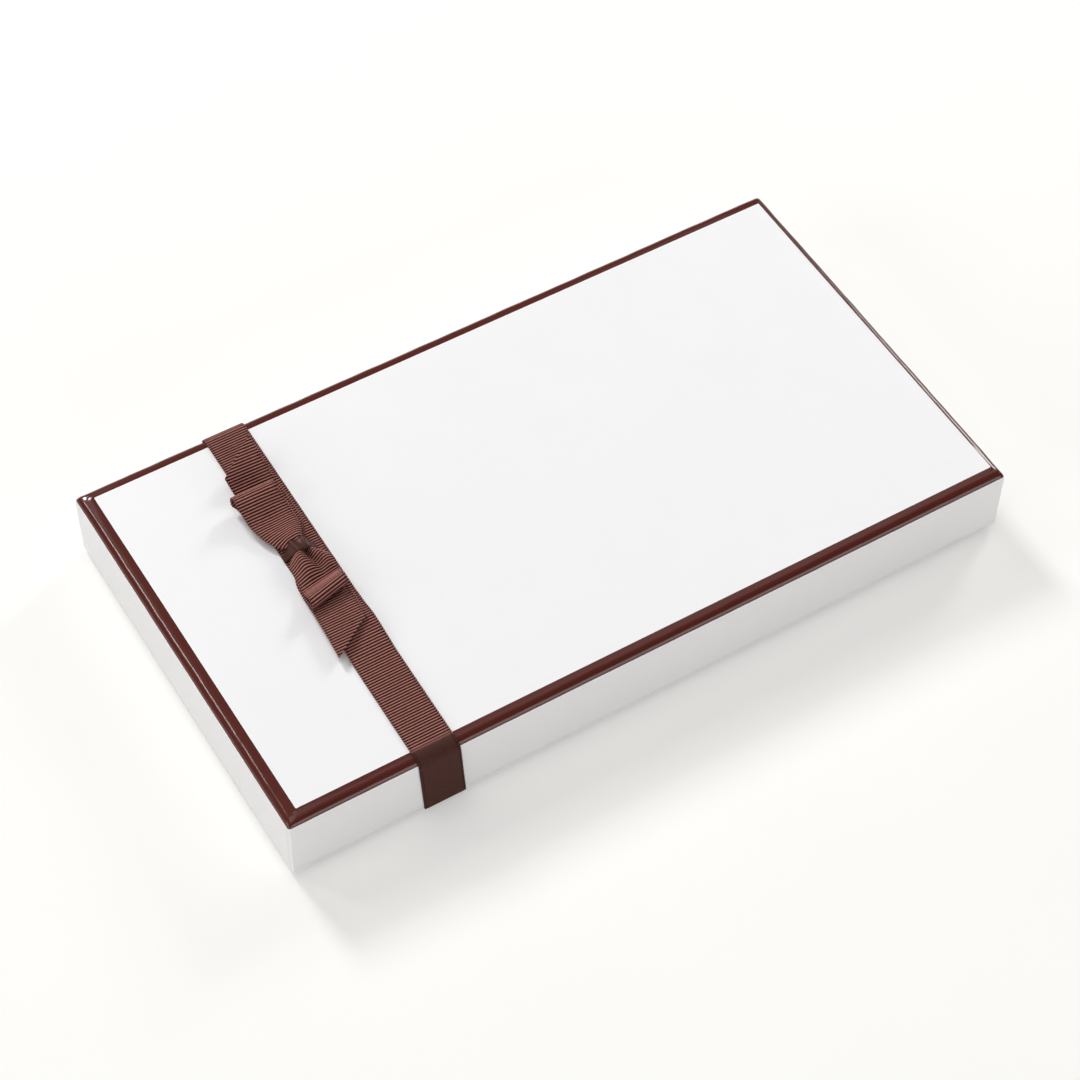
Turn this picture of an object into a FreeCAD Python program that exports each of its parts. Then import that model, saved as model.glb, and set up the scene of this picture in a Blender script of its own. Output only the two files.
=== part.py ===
import FreeCAD, Part
import math
import os
import Sketcher
from FreeCAD import Vector

# Chocolate box: a lift-off lid, tied with a ribbon and a bow, over a base with fifteen chocolates in
# a formed tray. Frame in millimetres: +X along the long side, +Y to the back, +Z up, origin on the table
# under the box's middle.

# Driving dimensions: cell alias, value, what it measures.
DIMENSIONS = (
    ("lid_length", 220.0, "lid outside, along X"),
    ("lid_width", 121.0, "lid outside, along Y"),
    ("lid_height", 22.0, "lid outside, from its rim to its top"),
    ("rim_gap", 1.5, "lid rim above the table"),
    ("edge_roll", 2.6, "outer radius of the folded long edges"),
    ("board", 1.5, "grey board thickness"),
    ("paper", 0.3, "wrap paper thickness"),
    ("lining", 0.2, "lining sheet thickness"),
    ("lining_margin", 1.0, "lining sheet, short of each wall"),
    ("turn_in", 12.0, "wrap paper turned in over a rim"),
    ("turn_under", 10.0, "wrap paper turned under the base"),
    ("sheet_gap", 0.3, "bottom sheet, short of the turned-under paper"),
    ("slide_play", 0.8, "lid to base, each side"),
    ("corner_slit", 0.3, "open seam at each corner of a board"),
    ("stay_leg", 12.0, "corner stay, each leg"),
    ("stay_thick", 0.15, "corner stay thickness"),
    ("ribbon_width", 12.0, "ribbon width"),
    ("ribbon_thick", 0.5, "ribbon thickness, ribs included"),
    ("ribbon_hook", 10.0, "ribbon turned up inside the lid"),
    ("ribbon_place", -66.3, "middle of the ribbon band, along X"),
    ("ribbon_lean", 0.8, "ribbon band, turned from square, degrees"),
    ("knot_x", -67.3, "middle of the bow's knot, along X"),
    ("knot_y", 12.3, "middle of the bow's knot, along Y"),
    ("knot_top", 3.8, "knot wrap, width of its flat top"),
    ("knot_foot", 9.4, "knot wrap, width over its feet"),
    ("knot_length", 4.8, "knot wrap, along the ribbon"),
    ("knot_shoulder", 0.17, "knot wrap, level thickness of a leg at its top"),
    ("knot_sole", 0.65, "knot wrap, level thickness of a leg at its foot"),
    ("waist_width", 3.2, "gathered ribbon in the knot"),
    ("waist_layer", 1.15, "one gathered layer of ribbon in the knot"),
    ("gather_reach", 9.0, "gathered ribbon, length over which it spreads to its full width"),
    ("rest_gap", 0.2, "lower run of a loop, over the tail under it"),
    ("back_loop", 23.0, "back loop, reach from the knot"),
    ("back_crest", 6.6, "back loop, height over the band"),
    ("back_lean", -2.4, "back loop's end, sideways from the knot"),
    ("front_loop", 16.5, "front loop, reach from the knot"),
    ("front_crest", 6.4, "front loop, height over the band"),
    ("front_slant", 21.0, "front loop's end fold, slant, degrees"),
    ("back_tail", 37.5, "back tail, reach of its middle from the knot"),
    ("front_tail", 32.0, "front tail, reach of its middle from the knot"),
    ("tail_slant", 35.0, "slant of the tails' cut ends, degrees"),
    ("tail_lift", 1.6, "lift of the tails' ends off the band"),
    ("tray_play", 0.4, "tray to the base's turned-in paper, each side"),
    ("tray_deck", 13.5, "tray height"),
    ("tray_sheet", 0.5, "tray sheet thickness"),
    ("tray_draft", 6.0, "slope of the tray's walls, degrees"),
    ("tray_corner", 4.0, "rounding of the tray's upright corners"),
    ("cavity_x", 35.0, "cavity mouth, along X"),
    ("cavity_y", 31.0, "cavity mouth, along Y"),
    ("cavity_corner", 7.0, "rounding of a cavity's upright corners"),
    ("cavity_depth", 12.0, "cavity depth"),
    ("pitch_x", 40.4, "cavity spacing, along X"),
    ("pitch_y", 34.8, "cavity spacing, along Y"),
    ("choc_height", 12.0, "chocolate height"),
    ("choc_draft", 9.0, "slope of a moulded chocolate's walls, degrees"),
    ("choc_round", 2.6, "rounding of a chocolate's top edge"),
    ("dome_radius", 12.8, "dome chocolate, foot radius"),
    ("dome_lip", 1.5, "dome chocolate, upright lip at its foot"),
    ("square_side", 24.0, "square chocolate, foot"),
    ("square_corner", 4.8, "square chocolate, rounding of its upright corners"),
    ("oval_long", 14.6, "oval chocolate, half length of its foot"),
    ("oval_short", 11.0, "oval chocolate, half width of its foot"),
    ("oval_corner", 10.8, "oval chocolate, rounding of its ends"),
    ("heart_lobe", 7.2, "heart chocolate, lobe radius"),
    ("log_length", 28.0, "log chocolate, foot along X"),
    ("log_width", 20.0, "log chocolate, foot along Y"),
    ("log_corner", 3.3, "log chocolate, rounding of its upright corners"),
    ("log_spacing", 8.0, "log chocolate, between its two cross grooves"),
    ("log_groove", 1.1, "log chocolate, depth of its two cross grooves"),
)

COLUMNS = 5
ROWS = 3
LOFT_STEPS = 14
# Loops and tails: share of the reach at which the end fold starts to slant, and the tail to lift.
SLANT_START = 0.2
LIFT_START = 0.55
# Step along a loop, in radians, over which its direction is measured.
TURN_STEP = 0.01
# Heart chocolate, in lobe radii: half the distance between its lobes, their height and its point's depth.
HEART_APART = 0.86
HEART_RISE = 0.45
HEART_POINT = 1.75
# Heart chocolate: share of its height, share of its foot's size.
HEART_SECTIONS = ((0.0, 1.0), (0.72, 0.87), (0.92, 0.76), (1.0, 0.6))
# Half sizes and corner that a sketch is first drawn with, before its dimensions drive it.
DRAWN_X = 9.0
DRAWN_Y = 6.0
DRAWN_CORNER = 2.0
CLOSE = 1e-4

# Sizes that several pieces share, as expressions on the sheet.
LID_BOARD_X = "(Sizes.lid_length - 2 * Sizes.paper)"
LID_BOARD_Y = "(Sizes.lid_width - 2 * Sizes.paper)"
WALL = "(Sizes.board + 2 * Sizes.paper)"
LID_INNER_X = f"(Sizes.lid_length - 2 * {WALL})"
LID_INNER_Y = f"(Sizes.lid_width - 2 * {WALL})"
BASE_X = f"({LID_INNER_X} - 2 * Sizes.slide_play)"
BASE_Y = f"({LID_INNER_Y} - 2 * Sizes.slide_play)"
LID_TOP = "(Sizes.rim_gap + Sizes.lid_height)"
BASE_HEIGHT = f"({LID_TOP} - Sizes.paper - Sizes.board - Sizes.lining)"
BASE_BOARD_X = f"({BASE_X} - 2 * Sizes.paper)"
BASE_BOARD_Y = f"({BASE_Y} - 2 * Sizes.paper)"
BASE_INNER_X = f"({BASE_X} - 2 * {WALL})"
BASE_INNER_Y = f"({BASE_Y} - 2 * {WALL})"
BASE_FLOOR = "(Sizes.paper + Sizes.board + Sizes.lining)"
BOARD_ROLL = "(Sizes.edge_roll - Sizes.paper)"
BOARD_FOLD = "(Sizes.edge_roll - Sizes.paper - Sizes.board)"


class BoxDocument:
    """The parametric document: its sheet of sizes, and helpers that add bodies, sketches and features."""

    def __init__(self):
        self.doc = FreeCAD.newDocument("ChocolateBox")
        self.sheet = self.doc.addObject("Spreadsheet::Sheet", "Sizes")
        for row, (alias, value, note) in enumerate(DIMENSIONS, start=1):
            self.sheet.set(f"A{row}", alias)
            self.sheet.set(f"B{row}", str(value))
            self.sheet.setAlias(f"B{row}", alias)
            self.sheet.set(f"C{row}", note)
        self.doc.recompute()
        self.nodes = []

    def size(self, alias):
        """One driving dimension, as a number."""
        return float(self.sheet.get(alias))

    def body(self, label):
        """A new body that becomes the node of that name."""
        body = self.doc.addObject("PartDesign::Body", label)
        body.Label = label
        self.nodes.append(body)
        return body

    def solid(self, label, shape, place):
        """A node whose shape is worked out in code from the sheet's sizes."""
        feature = self.doc.addObject("Part::Feature", label)
        feature.Label = label
        feature.Shape = shape
        feature.Placement = place
        self.nodes.append(feature)

    def sketch(self, body, role, height=None):
        """A sketch on one of the body's own planes, raised by an expression."""
        plane = next(item for item in body.Origin.OriginFeatures if item.Role == role)
        sketch = body.newObject("Sketcher::SketchObject", "Sketch")
        sketch.AttachmentSupport = (plane, [""])
        sketch.MapMode = "FlatFace"
        if height:
            sketch.setExpression("AttachmentOffset.Base.z", height)
        return sketch

    def pad(self, body, sketch, length, taper=None, down=False):
        """Material added along the sketch's normal."""
        feature = body.newObject("PartDesign::Pad", "Pad")
        feature.Profile = sketch
        feature.setExpression("Length", length)
        feature.Reversed = down
        if taper:
            feature.setExpression("TaperAngle", taper)
        self.doc.recompute()
        return feature

    def pocket(self, body, sketch, length, taper=None, up=True):
        """Material cut away along the sketch's normal, upwards unless told otherwise."""
        before = body.Shape.Volume
        feature = body.newObject("PartDesign::Pocket", "Pocket")
        feature.Profile = sketch
        feature.setExpression("Length", length)
        feature.Reversed = up
        if taper:
            feature.setExpression("TaperAngle", taper)
        self.doc.recompute()
        if not feature.Shape.Volume < before - CLOSE:
            raise RuntimeError(f"{body.Label}: a pocket cuts nothing")
        return feature

    def fillet(self, body, wanted, radius):
        """Rounds every edge of the body that passes the test."""
        base = body.Tip
        names = [f"Edge{i}" for i, edge in enumerate(base.Shape.Edges, start=1) if wanted(edge)]
        feature = body.newObject("PartDesign::Fillet", "Fillet")
        feature.Base = (base, names)
        feature.setExpression("Radius", radius)
        self.doc.recompute()

    def finish(self):
        """Recomputes, checks every object and writes one file for each node."""
        self.doc.recompute()
        for item in self.doc.Objects:
            if {"Invalid", "Error"} & set(item.State):
                raise RuntimeError(f"{item.Name} of {item.Label} failed: {item.State}")
        os.makedirs("parts", exist_ok=True)
        for node in self.nodes:
            if node.Shape.isNull() or not node.Shape.isValid():
                raise RuntimeError(f"{node.Label} has no valid shape")
            node.Shape.exportStep(f"parts/{node.Label}.step")
            solids = len(node.Shape.Solids)
            print(f"{node.Label}: {solids} solid(s), {node.Shape.Volume:.1f} cubic mm")


def closed_outline(sketch, corners):
    """Adds straight sides through the corners, joined end to end, and returns their numbers."""
    count = len(corners)
    points = [Vector(across, along, 0) for across, along in corners]
    lines = [Part.LineSegment(points[i], points[(i + 1) % count]) for i in range(count)]
    sides = sketch.addGeometry(lines, False)
    for i in range(count):
        sketch.addConstraint(Sketcher.Constraint("Coincident", sides[i], 2, sides[(i + 1) % count], 1))
    return sides


def bind(sketch, constraint, expression):
    """Adds a dimension to a sketch and binds it to the sheet."""
    index = sketch.addConstraint(constraint)
    sketch.setExpression(f"Constraints[{index}]", expression)


def rectangle(sketch, across, deep):
    """A rectangle about the sketch's origin."""
    corners = [(-DRAWN_X, -DRAWN_Y), (DRAWN_X, -DRAWN_Y), (DRAWN_X, DRAWN_Y), (-DRAWN_X, DRAWN_Y)]
    sides = closed_outline(sketch, corners)
    for side, kind in zip(sides, ("Horizontal", "Vertical", "Horizontal", "Vertical")):
        sketch.addConstraint(Sketcher.Constraint(kind, side))
    sketch.addConstraint(Sketcher.Constraint("Symmetric", sides[0], 1, sides[1], 2, -1, 1))
    bind(sketch, Sketcher.Constraint("DistanceX", sides[0], 1, sides[0], 2, 2 * DRAWN_X), across)
    bind(sketch, Sketcher.Constraint("DistanceY", sides[1], 1, sides[1], 2, 2 * DRAWN_Y), deep)


def rounded_rectangle(sketch, across, deep, corner):
    """A rectangle about the sketch's origin with round corners."""
    half_x, half_y, radius = DRAWN_X, DRAWN_Y, DRAWN_CORNER
    quarter = math.pi / 2
    straight = [
        Part.LineSegment(Vector(-half_x + radius, -half_y, 0), Vector(half_x - radius, -half_y, 0)),
        Part.LineSegment(Vector(half_x, -half_y + radius, 0), Vector(half_x, half_y - radius, 0)),
        Part.LineSegment(Vector(half_x - radius, half_y, 0), Vector(-half_x + radius, half_y, 0)),
        Part.LineSegment(Vector(-half_x, half_y - radius, 0), Vector(-half_x, -half_y + radius, 0)),
    ]
    centres = [(1, -1), (1, 1), (-1, 1), (-1, -1)]
    bends = []
    for turn, (sign_x, sign_y) in enumerate(centres):
        middle = Vector(sign_x * (half_x - radius), sign_y * (half_y - radius), 0)
        circle = Part.Circle(middle, Vector(0, 0, 1), radius)
        bends.append(Part.ArcOfCircle(circle, (turn - 1) * quarter, turn * quarter))
    sides = sketch.addGeometry(straight, False)
    corners = sketch.addGeometry(bends, False)
    for i in range(4):
        sketch.addConstraint(Sketcher.Constraint("Tangent", sides[i], 2, corners[i], 1))
        sketch.addConstraint(Sketcher.Constraint("Tangent", corners[i], 2, sides[(i + 1) % 4], 1))
    for side, kind in zip(sides, ("Horizontal", "Vertical", "Horizontal", "Vertical")):
        sketch.addConstraint(Sketcher.Constraint(kind, side))
    for other in corners[1:]:
        sketch.addConstraint(Sketcher.Constraint("Equal", corners[0], other))
    sketch.addConstraint(Sketcher.Constraint("Symmetric", corners[0], 3, corners[2], 3, -1, 1))
    bind(sketch, Sketcher.Constraint("DistanceX", sides[3], 1, sides[1], 1, 2 * half_x), across)
    bind(sketch, Sketcher.Constraint("DistanceY", sides[0], 1, sides[2], 1, 2 * half_y), deep)
    bind(sketch, Sketcher.Constraint("Radius", corners[0], radius), corner)


def placed_outline(sketch, corners):
    """A closed outline with straight sides, whose corners are pairs of expressions on the sheet."""
    count = len(corners)
    turns = [2 * math.pi * i / count for i in range(count)]
    sides = closed_outline(sketch, [(math.cos(turn), math.sin(turn)) for turn in turns])
    for side, turn, (across, along) in zip(sides, turns, corners):
        bind(sketch, Sketcher.Constraint("DistanceX", -1, 1, side, 1, math.cos(turn)), across)
        bind(sketch, Sketcher.Constraint("DistanceY", -1, 1, side, 1, math.sin(turn)), along)


def edges_at(height):
    """Test for the level edges at one height."""
    return lambda edge: all(abs(vertex.Z - height) < CLOSE for vertex in edge.Vertexes)


def bends_at(height):
    """Test for the level edges at one height that run along X."""
    level = edges_at(height)
    return lambda edge: level(edge) and edge.BoundBox.XLength > edge.BoundBox.YLength


def four_corners():
    """The signs of X and Y at the four corners of a box."""
    return [(sign_x, sign_y) for sign_x in (1, -1) for sign_y in (1, -1)]


# Folded board, paper wraps and linings: the lid and the base share one construction, drawn with the rim at
# the bottom and the closed face on top; the base is the same thing turned over.


def stay_outlines(sketch, across, deep):
    """Four L-shaped sections of paper tape on the outside of a board's upright corners."""
    for sign_x, sign_y in four_corners():
        far_x, far_y = f"{sign_x} * {across} / 2", f"{sign_y} * {deep} / 2"
        thin_x = f"{far_x} - {sign_x} * Sizes.stay_thick"
        thin_y = f"{far_y} - {sign_y} * Sizes.stay_thick"
        leg_x = f"{far_x} - {sign_x} * Sizes.stay_leg"
        leg_y = f"{far_y} - {sign_y} * Sizes.stay_leg"
        outside = [(far_x, leg_y), (far_x, far_y), (leg_x, far_y)]
        inside = [(leg_x, thin_y), (thin_x, thin_y), (thin_x, leg_y)]
        placed_outline(sketch, outside + inside)


def slit_outlines(sketch, across, deep):
    """Four thin slots where the end walls stop short of the long walls."""
    for sign_x, sign_y in four_corners():
        outer_x, inner_x = f"{sign_x} * {across} / 2", f"{sign_x} * ({across} / 2 - Sizes.board)"
        near_y = f"{sign_y} * ({deep} / 2 - Sizes.board)"
        far_y = f"{sign_y} * ({deep} / 2 - Sizes.board - Sizes.corner_slit)"
        placed_outline(sketch, [(outer_x, near_y), (inner_x, near_y), (inner_x, far_y), (outer_x, far_y)])


def folded_board(box, label, across, deep, height):
    """Grey board folded into a top and four walls, its corners open and pressed in for the tape."""
    body = box.body(label)
    block = box.sketch(body, "XY_Plane", "Sizes.paper")
    rectangle(block, across, deep)
    box.pad(body, block, height)
    top = body.Shape.BoundBox.ZMax
    box.fillet(body, edges_at(top), BOARD_ROLL)
    hollow = box.sketch(body, "XY_Plane", "Sizes.paper")
    rectangle(hollow, f"{across} - 2 * Sizes.board", f"{deep} - 2 * Sizes.board")
    box.pocket(body, hollow, f"{height} - Sizes.board")
    box.fillet(body, edges_at(top - box.size("board")), BOARD_FOLD)
    for outlines in (stay_outlines, slit_outlines):
        cut = box.sketch(body, "XY_Plane", "Sizes.paper")
        outlines(cut, across, deep)
        box.pocket(body, cut, f"{height} - {BOARD_ROLL}")
    return body


def corner_stays(box, label, across, deep, height):
    """The four strips of tape that close a board's corners, as one group."""
    body = box.body(label)
    body.AllowCompound = True
    tape = box.sketch(body, "XY_Plane", "Sizes.paper")
    stay_outlines(tape, across, deep)
    box.pad(body, tape, f"{height} - {BOARD_ROLL}")
    return body


def wrap_paper(box, label, across, deep, height):
    """Paper over the outside of a folded board, turned in over its rim."""
    body = box.body(label)
    skin = box.sketch(body, "XY_Plane")
    rectangle(skin, across, deep)
    box.pad(body, skin, height)
    top = body.Shape.BoundBox.ZMax
    mouth = box.sketch(body, "XY_Plane")
    rectangle(mouth, f"{across} - 2 * {WALL}", f"{deep} - 2 * {WALL}")
    box.pocket(body, mouth, "Sizes.turn_in")
    inside = box.sketch(body, "XY_Plane", "Sizes.turn_in")
    rectangle(inside, f"{across} - 2 * Sizes.paper", f"{deep} - 2 * Sizes.paper")
    box.pocket(body, inside, f"{height} - Sizes.paper - Sizes.turn_in")
    box.fillet(body, edges_at(top - box.size("paper")), BOARD_ROLL)
    wall = box.sketch(body, "XY_Plane", "Sizes.paper")
    rectangle(wall, f"{across} - 2 * Sizes.paper", f"{deep} - 2 * Sizes.paper")
    both = "2 * (Sizes.paper + Sizes.board)"
    rectangle(wall, f"{across} - {both}", f"{deep} - {both}")
    box.pocket(body, wall, "Sizes.turn_in - Sizes.paper")
    box.fillet(body, edges_at(top), "Sizes.edge_roll")
    return body


def flat_sheet(box, label, across, deep, bottom, thick):
    """A plain sheet of paper that lies level."""
    body = box.body(label)
    sheet = box.sketch(body, "XY_Plane", bottom)
    rectangle(sheet, across, deep)
    box.pad(body, sheet, thick)


def raise_to_rim(body):
    """Puts a piece of the lid at the lid's height over the table."""
    body.setExpression("Placement.Base.z", "Sizes.rim_gap")


def turn_over(body):
    """Turns a piece of the base over, so that its closed face is on the table."""
    body.Placement = FreeCAD.Placement(Vector(), FreeCAD.Rotation(Vector(1, 0, 0), 180))
    body.setExpression("Placement.Base.z", BASE_HEIGHT)


def lid_pieces(box):
    """Board, stays, wrap and lining of the lid."""
    height = "(Sizes.lid_height - 2 * Sizes.paper)"
    raise_to_rim(folded_board(box, "lid_board", LID_BOARD_X, LID_BOARD_Y, height))
    raise_to_rim(corner_stays(box, "lid_corner_stays", LID_BOARD_X, LID_BOARD_Y, height))
    raise_to_rim(wrap_paper(box, "lid_wrap", "Sizes.lid_length", "Sizes.lid_width", "Sizes.lid_height"))
    short = "2 * (Sizes.board + Sizes.lining_margin)"
    across, deep = f"{LID_BOARD_X} - {short}", f"{LID_BOARD_Y} - {short}"
    flat_sheet(box, "lid_lining", across, deep, BASE_HEIGHT, "Sizes.lining")


def base_pieces(box):
    """Board, stays, wrap, lining and bottom sheet of the base."""
    height = f"({BASE_HEIGHT} - 2 * Sizes.paper)"
    turn_over(folded_board(box, "base_board", BASE_BOARD_X, BASE_BOARD_Y, height))
    turn_over(corner_stays(box, "base_corner_stays", BASE_BOARD_X, BASE_BOARD_Y, height))
    wrap = wrap_paper(box, "base_wrap", BASE_X, BASE_Y, BASE_HEIGHT)
    window = box.sketch(wrap, "XY_Plane", BASE_HEIGHT)
    rectangle(window, f"{BASE_X} - 2 * Sizes.turn_under", f"{BASE_Y} - 2 * Sizes.turn_under")
    box.pocket(wrap, window, "Sizes.paper", up=False)
    turn_over(wrap)
    short = "2 * (Sizes.turn_under + Sizes.sheet_gap)"
    across, deep = f"{BASE_X} - {short}", f"{BASE_Y} - {short}"
    flat_sheet(box, "base_bottom_sheet", across, deep, None, "Sizes.paper")
    short = "2 * (Sizes.board + Sizes.lining_margin)"
    across, deep = f"{BASE_BOARD_X} - {short}", f"{BASE_BOARD_Y} - {short}"
    flat_sheet(box, "base_lining", across, deep, "Sizes.paper + Sizes.board", "Sizes.lining")


# What the base holds: a tray formed from one thin sheet, and the chocolates in its cavities.


def insert_tray(box):
    """Thin sheet formed into a deck with a sloping skirt and a grid of sloping cavities."""
    body = box.body("insert_tray")
    body.setExpression("Placement.Base.z", BASE_FLOOR)
    across = f"({BASE_INNER_X} - 2 * Sizes.tray_play)"
    deep = f"({BASE_INNER_Y} - 2 * Sizes.tray_play)"
    slope = "-Sizes.tray_draft"
    skirt = box.sketch(body, "XY_Plane")
    rounded_rectangle(skirt, across, deep, "Sizes.tray_corner")
    box.pad(body, skirt, "Sizes.tray_deck", slope)
    under = box.sketch(body, "XY_Plane")
    thin = "2 * Sizes.tray_sheet"
    within = "Sizes.tray_corner - Sizes.tray_sheet"
    rounded_rectangle(under, f"{across} - {thin}", f"{deep} - {thin}", within)
    box.pocket(body, under, "Sizes.tray_deck - Sizes.tray_sheet", slope)
    cup = first_cavity(box, body)
    rounded_rectangle(
        cup,
        f"Sizes.cavity_x + {thin}",
        f"Sizes.cavity_y + {thin}",
        "Sizes.cavity_corner + Sizes.tray_sheet",
    )
    cup_wall = box.pad(body, cup, "Sizes.cavity_depth + Sizes.tray_sheet", slope, down=True)
    hole = first_cavity(box, body)
    rounded_rectangle(hole, "Sizes.cavity_x", "Sizes.cavity_y", "Sizes.cavity_corner")
    cup_space = box.pocket(body, hole, "Sizes.cavity_depth", slope, up=False)
    grid = body.newObject("PartDesign::LinearPattern", "Grid")
    grid.Originals = [cup_wall, cup_space]
    grid.Direction = (cup, ["H_Axis"])
    grid.Occurrences = COLUMNS
    grid.setExpression("Length", f"Sizes.pitch_x * {COLUMNS - 1}")
    grid.Direction2 = (cup, ["V_Axis"])
    grid.Occurrences2 = ROWS
    grid.setExpression("Length2", f"Sizes.pitch_y * {ROWS - 1}")
    body.Tip = grid
    box.doc.recompute()


def first_cavity(box, body):
    """A sketch on the tray's deck, about the middle of the front left cavity."""
    sketch = box.sketch(body, "XY_Plane", "Sizes.tray_deck")
    sketch.setExpression("AttachmentOffset.Base.x", f"-Sizes.pitch_x * {(COLUMNS - 1) / 2}")
    sketch.setExpression("AttachmentOffset.Base.y", f"-Sizes.pitch_y * {(ROWS - 1) / 2}")
    return sketch


def moulded(box, body, foot):
    """Raises a chocolate from its foot with sloping walls and a rounded top edge."""
    box.pad(body, foot, "Sizes.choc_height", "-Sizes.choc_draft")
    box.fillet(body, edges_at(box.size("choc_height")), "Sizes.choc_round")


def square_chocolate(box, body):
    """Square with soft corners."""
    foot = box.sketch(body, "XY_Plane")
    rounded_rectangle(foot, "Sizes.square_side", "Sizes.square_side", "Sizes.square_corner")
    moulded(box, body, foot)


def oval_chocolate(box, body):
    """Oblong with full round ends."""
    foot = box.sketch(body, "XY_Plane")
    rounded_rectangle(foot, "2 * Sizes.oval_long", "2 * Sizes.oval_short", "Sizes.oval_corner")
    moulded(box, body, foot)


def log_chocolate(box, body):
    """Oblong bar with two grooves across its top."""
    foot = box.sketch(body, "XY_Plane")
    rounded_rectangle(foot, "Sizes.log_length", "Sizes.log_width", "Sizes.log_corner")
    moulded(box, body, foot)
    notch = box.sketch(body, "XZ_Plane")
    for side in (-1, 1):
        middle = f"{side} * Sizes.log_spacing / 2"
        bottom = "Sizes.choc_height - Sizes.log_groove"
        placed_outline(
            notch,
            [
                (middle, bottom),
                (f"{middle} + Sizes.log_groove", "Sizes.choc_height"),
                (f"{middle} - Sizes.log_groove", "Sizes.choc_height"),
            ],
        )
    groove = box.pocket(body, notch, "Sizes.log_width")
    groove.SideType = "Symmetric"


def dome_chocolate(box, body):
    """Round foot with a short lip under a part of a ball, turned about the upright axis."""
    radius, height, lip = box.size("dome_radius"), box.size("choc_height"), box.size("dome_lip")
    centre = (height**2 - lip**2 - radius**2) / (2 * (height - lip))
    start = math.atan2(lip - centre, radius)
    profile = box.sketch(body, "XZ_Plane")
    ball = Part.Circle(Vector(0, centre, 0), Vector(0, 0, 1), height - centre)
    parts = [
        Part.LineSegment(Vector(0, height, 0), Vector(0, 0, 0)),
        Part.LineSegment(Vector(0, 0, 0), Vector(radius, 0, 0)),
        Part.LineSegment(Vector(radius, 0, 0), Vector(radius, lip, 0)),
        Part.ArcOfCircle(ball, start, math.pi / 2),
    ]
    axis, foot, side, crown = profile.addGeometry(parts, False)
    profile.addConstraint(Sketcher.Constraint("Coincident", axis, 2, foot, 1))
    profile.addConstraint(Sketcher.Constraint("Coincident", foot, 2, side, 1))
    profile.addConstraint(Sketcher.Constraint("Coincident", side, 2, crown, 1))
    profile.addConstraint(Sketcher.Constraint("Coincident", crown, 2, axis, 1))
    profile.addConstraint(Sketcher.Constraint("Coincident", axis, 2, -1, 1))
    profile.addConstraint(Sketcher.Constraint("Vertical", axis))
    profile.addConstraint(Sketcher.Constraint("Horizontal", foot))
    profile.addConstraint(Sketcher.Constraint("Vertical", side))
    profile.addConstraint(Sketcher.Constraint("PointOnObject", crown, 3, -2))
    bind(profile, Sketcher.Constraint("DistanceX", foot, 1, foot, 2, radius), "Sizes.dome_radius")
    bind(profile, Sketcher.Constraint("DistanceY", side, 1, side, 2, lip), "Sizes.dome_lip")
    bind(profile, Sketcher.Constraint("DistanceY", axis, 2, axis, 1, height), "Sizes.choc_height")
    turned = body.newObject("PartDesign::Revolution", "Dome")
    turned.Profile = profile
    turned.ReferenceAxis = (profile, ["V_Axis"])
    turned.Angle = 360.0
    box.doc.recompute()


def heart_outline(sketch, radius, share):
    """Heart about the sketch's origin, its lobes a share of the sheet's size and its point towards -Y."""
    apart, rise, point = HEART_APART * radius, HEART_RISE * radius, HEART_POINT * radius
    reach = math.hypot(apart, point + rise)
    lean = math.atan2(point + rise, apart)
    swing = math.acos(radius / reach)
    touch = math.pi + lean + swing
    notch_turn = math.acos(-apart / radius)
    right_ring = Part.Circle(Vector(apart, rise, 0), Vector(0, 0, 1), radius)
    left_ring = Part.Circle(Vector(-apart, rise, 0), Vector(0, 0, 1), radius)
    right = Part.ArcOfCircle(right_ring, touch - 2 * math.pi, notch_turn)
    left = Part.ArcOfCircle(left_ring, math.pi - notch_turn, 3 * math.pi - touch)
    tip = Vector(0, -point, 0)
    edges = [right, left, Part.LineSegment(left.EndPoint, tip), Part.LineSegment(tip, right.StartPoint)]
    lobe_r, lobe_l, side_l, side_r = sketch.addGeometry(edges, False)
    sketch.addConstraint(Sketcher.Constraint("Coincident", lobe_r, 2, lobe_l, 1))
    sketch.addConstraint(Sketcher.Constraint("Tangent", lobe_l, 2, side_l, 1))
    sketch.addConstraint(Sketcher.Constraint("Coincident", side_l, 2, side_r, 1))
    sketch.addConstraint(Sketcher.Constraint("Tangent", side_r, 2, lobe_r, 1))
    sketch.addConstraint(Sketcher.Constraint("Equal", lobe_r, lobe_l))
    sketch.addConstraint(Sketcher.Constraint("Symmetric", lobe_r, 3, lobe_l, 3, -2))
    sketch.addConstraint(Sketcher.Constraint("PointOnObject", side_l, 2, -2))
    size = f"Sizes.heart_lobe * {share}"
    bind(sketch, Sketcher.Constraint("Radius", lobe_r, radius), size)
    bind(sketch, Sketcher.Constraint("DistanceX", -1, 1, lobe_r, 3, apart), f"{HEART_APART} * {size}")
    bind(sketch, Sketcher.Constraint("DistanceY", -1, 1, lobe_r, 3, rise), f"{HEART_RISE} * {size}")
    bind(sketch, Sketcher.Constraint("DistanceY", side_l, 2, -1, 1, point), f"{HEART_POINT} * {size}")


def heart_chocolate(box, body):
    """Heart that narrows from its foot to a rounded shoulder and a small flat top."""
    radius = box.size("heart_lobe")
    sections = []
    for rise, share in HEART_SECTIONS:
        level = box.sketch(body, "XY_Plane", f"Sizes.choc_height * {rise}")
        heart_outline(level, radius * share, share)
        sections.append(level)
    box.doc.recompute()
    heart = body.newObject("PartDesign::AdditiveLoft", "Heart")
    heart.Profile = sections[0]
    heart.Sections = sections[1:]
    heart.Ruled = True
    box.doc.recompute()


CHOCOLATES = (
    ("square", square_chocolate),
    ("dome", dome_chocolate),
    ("heart", heart_chocolate),
    ("oval", oval_chocolate),
    ("log", log_chocolate),
)


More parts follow.
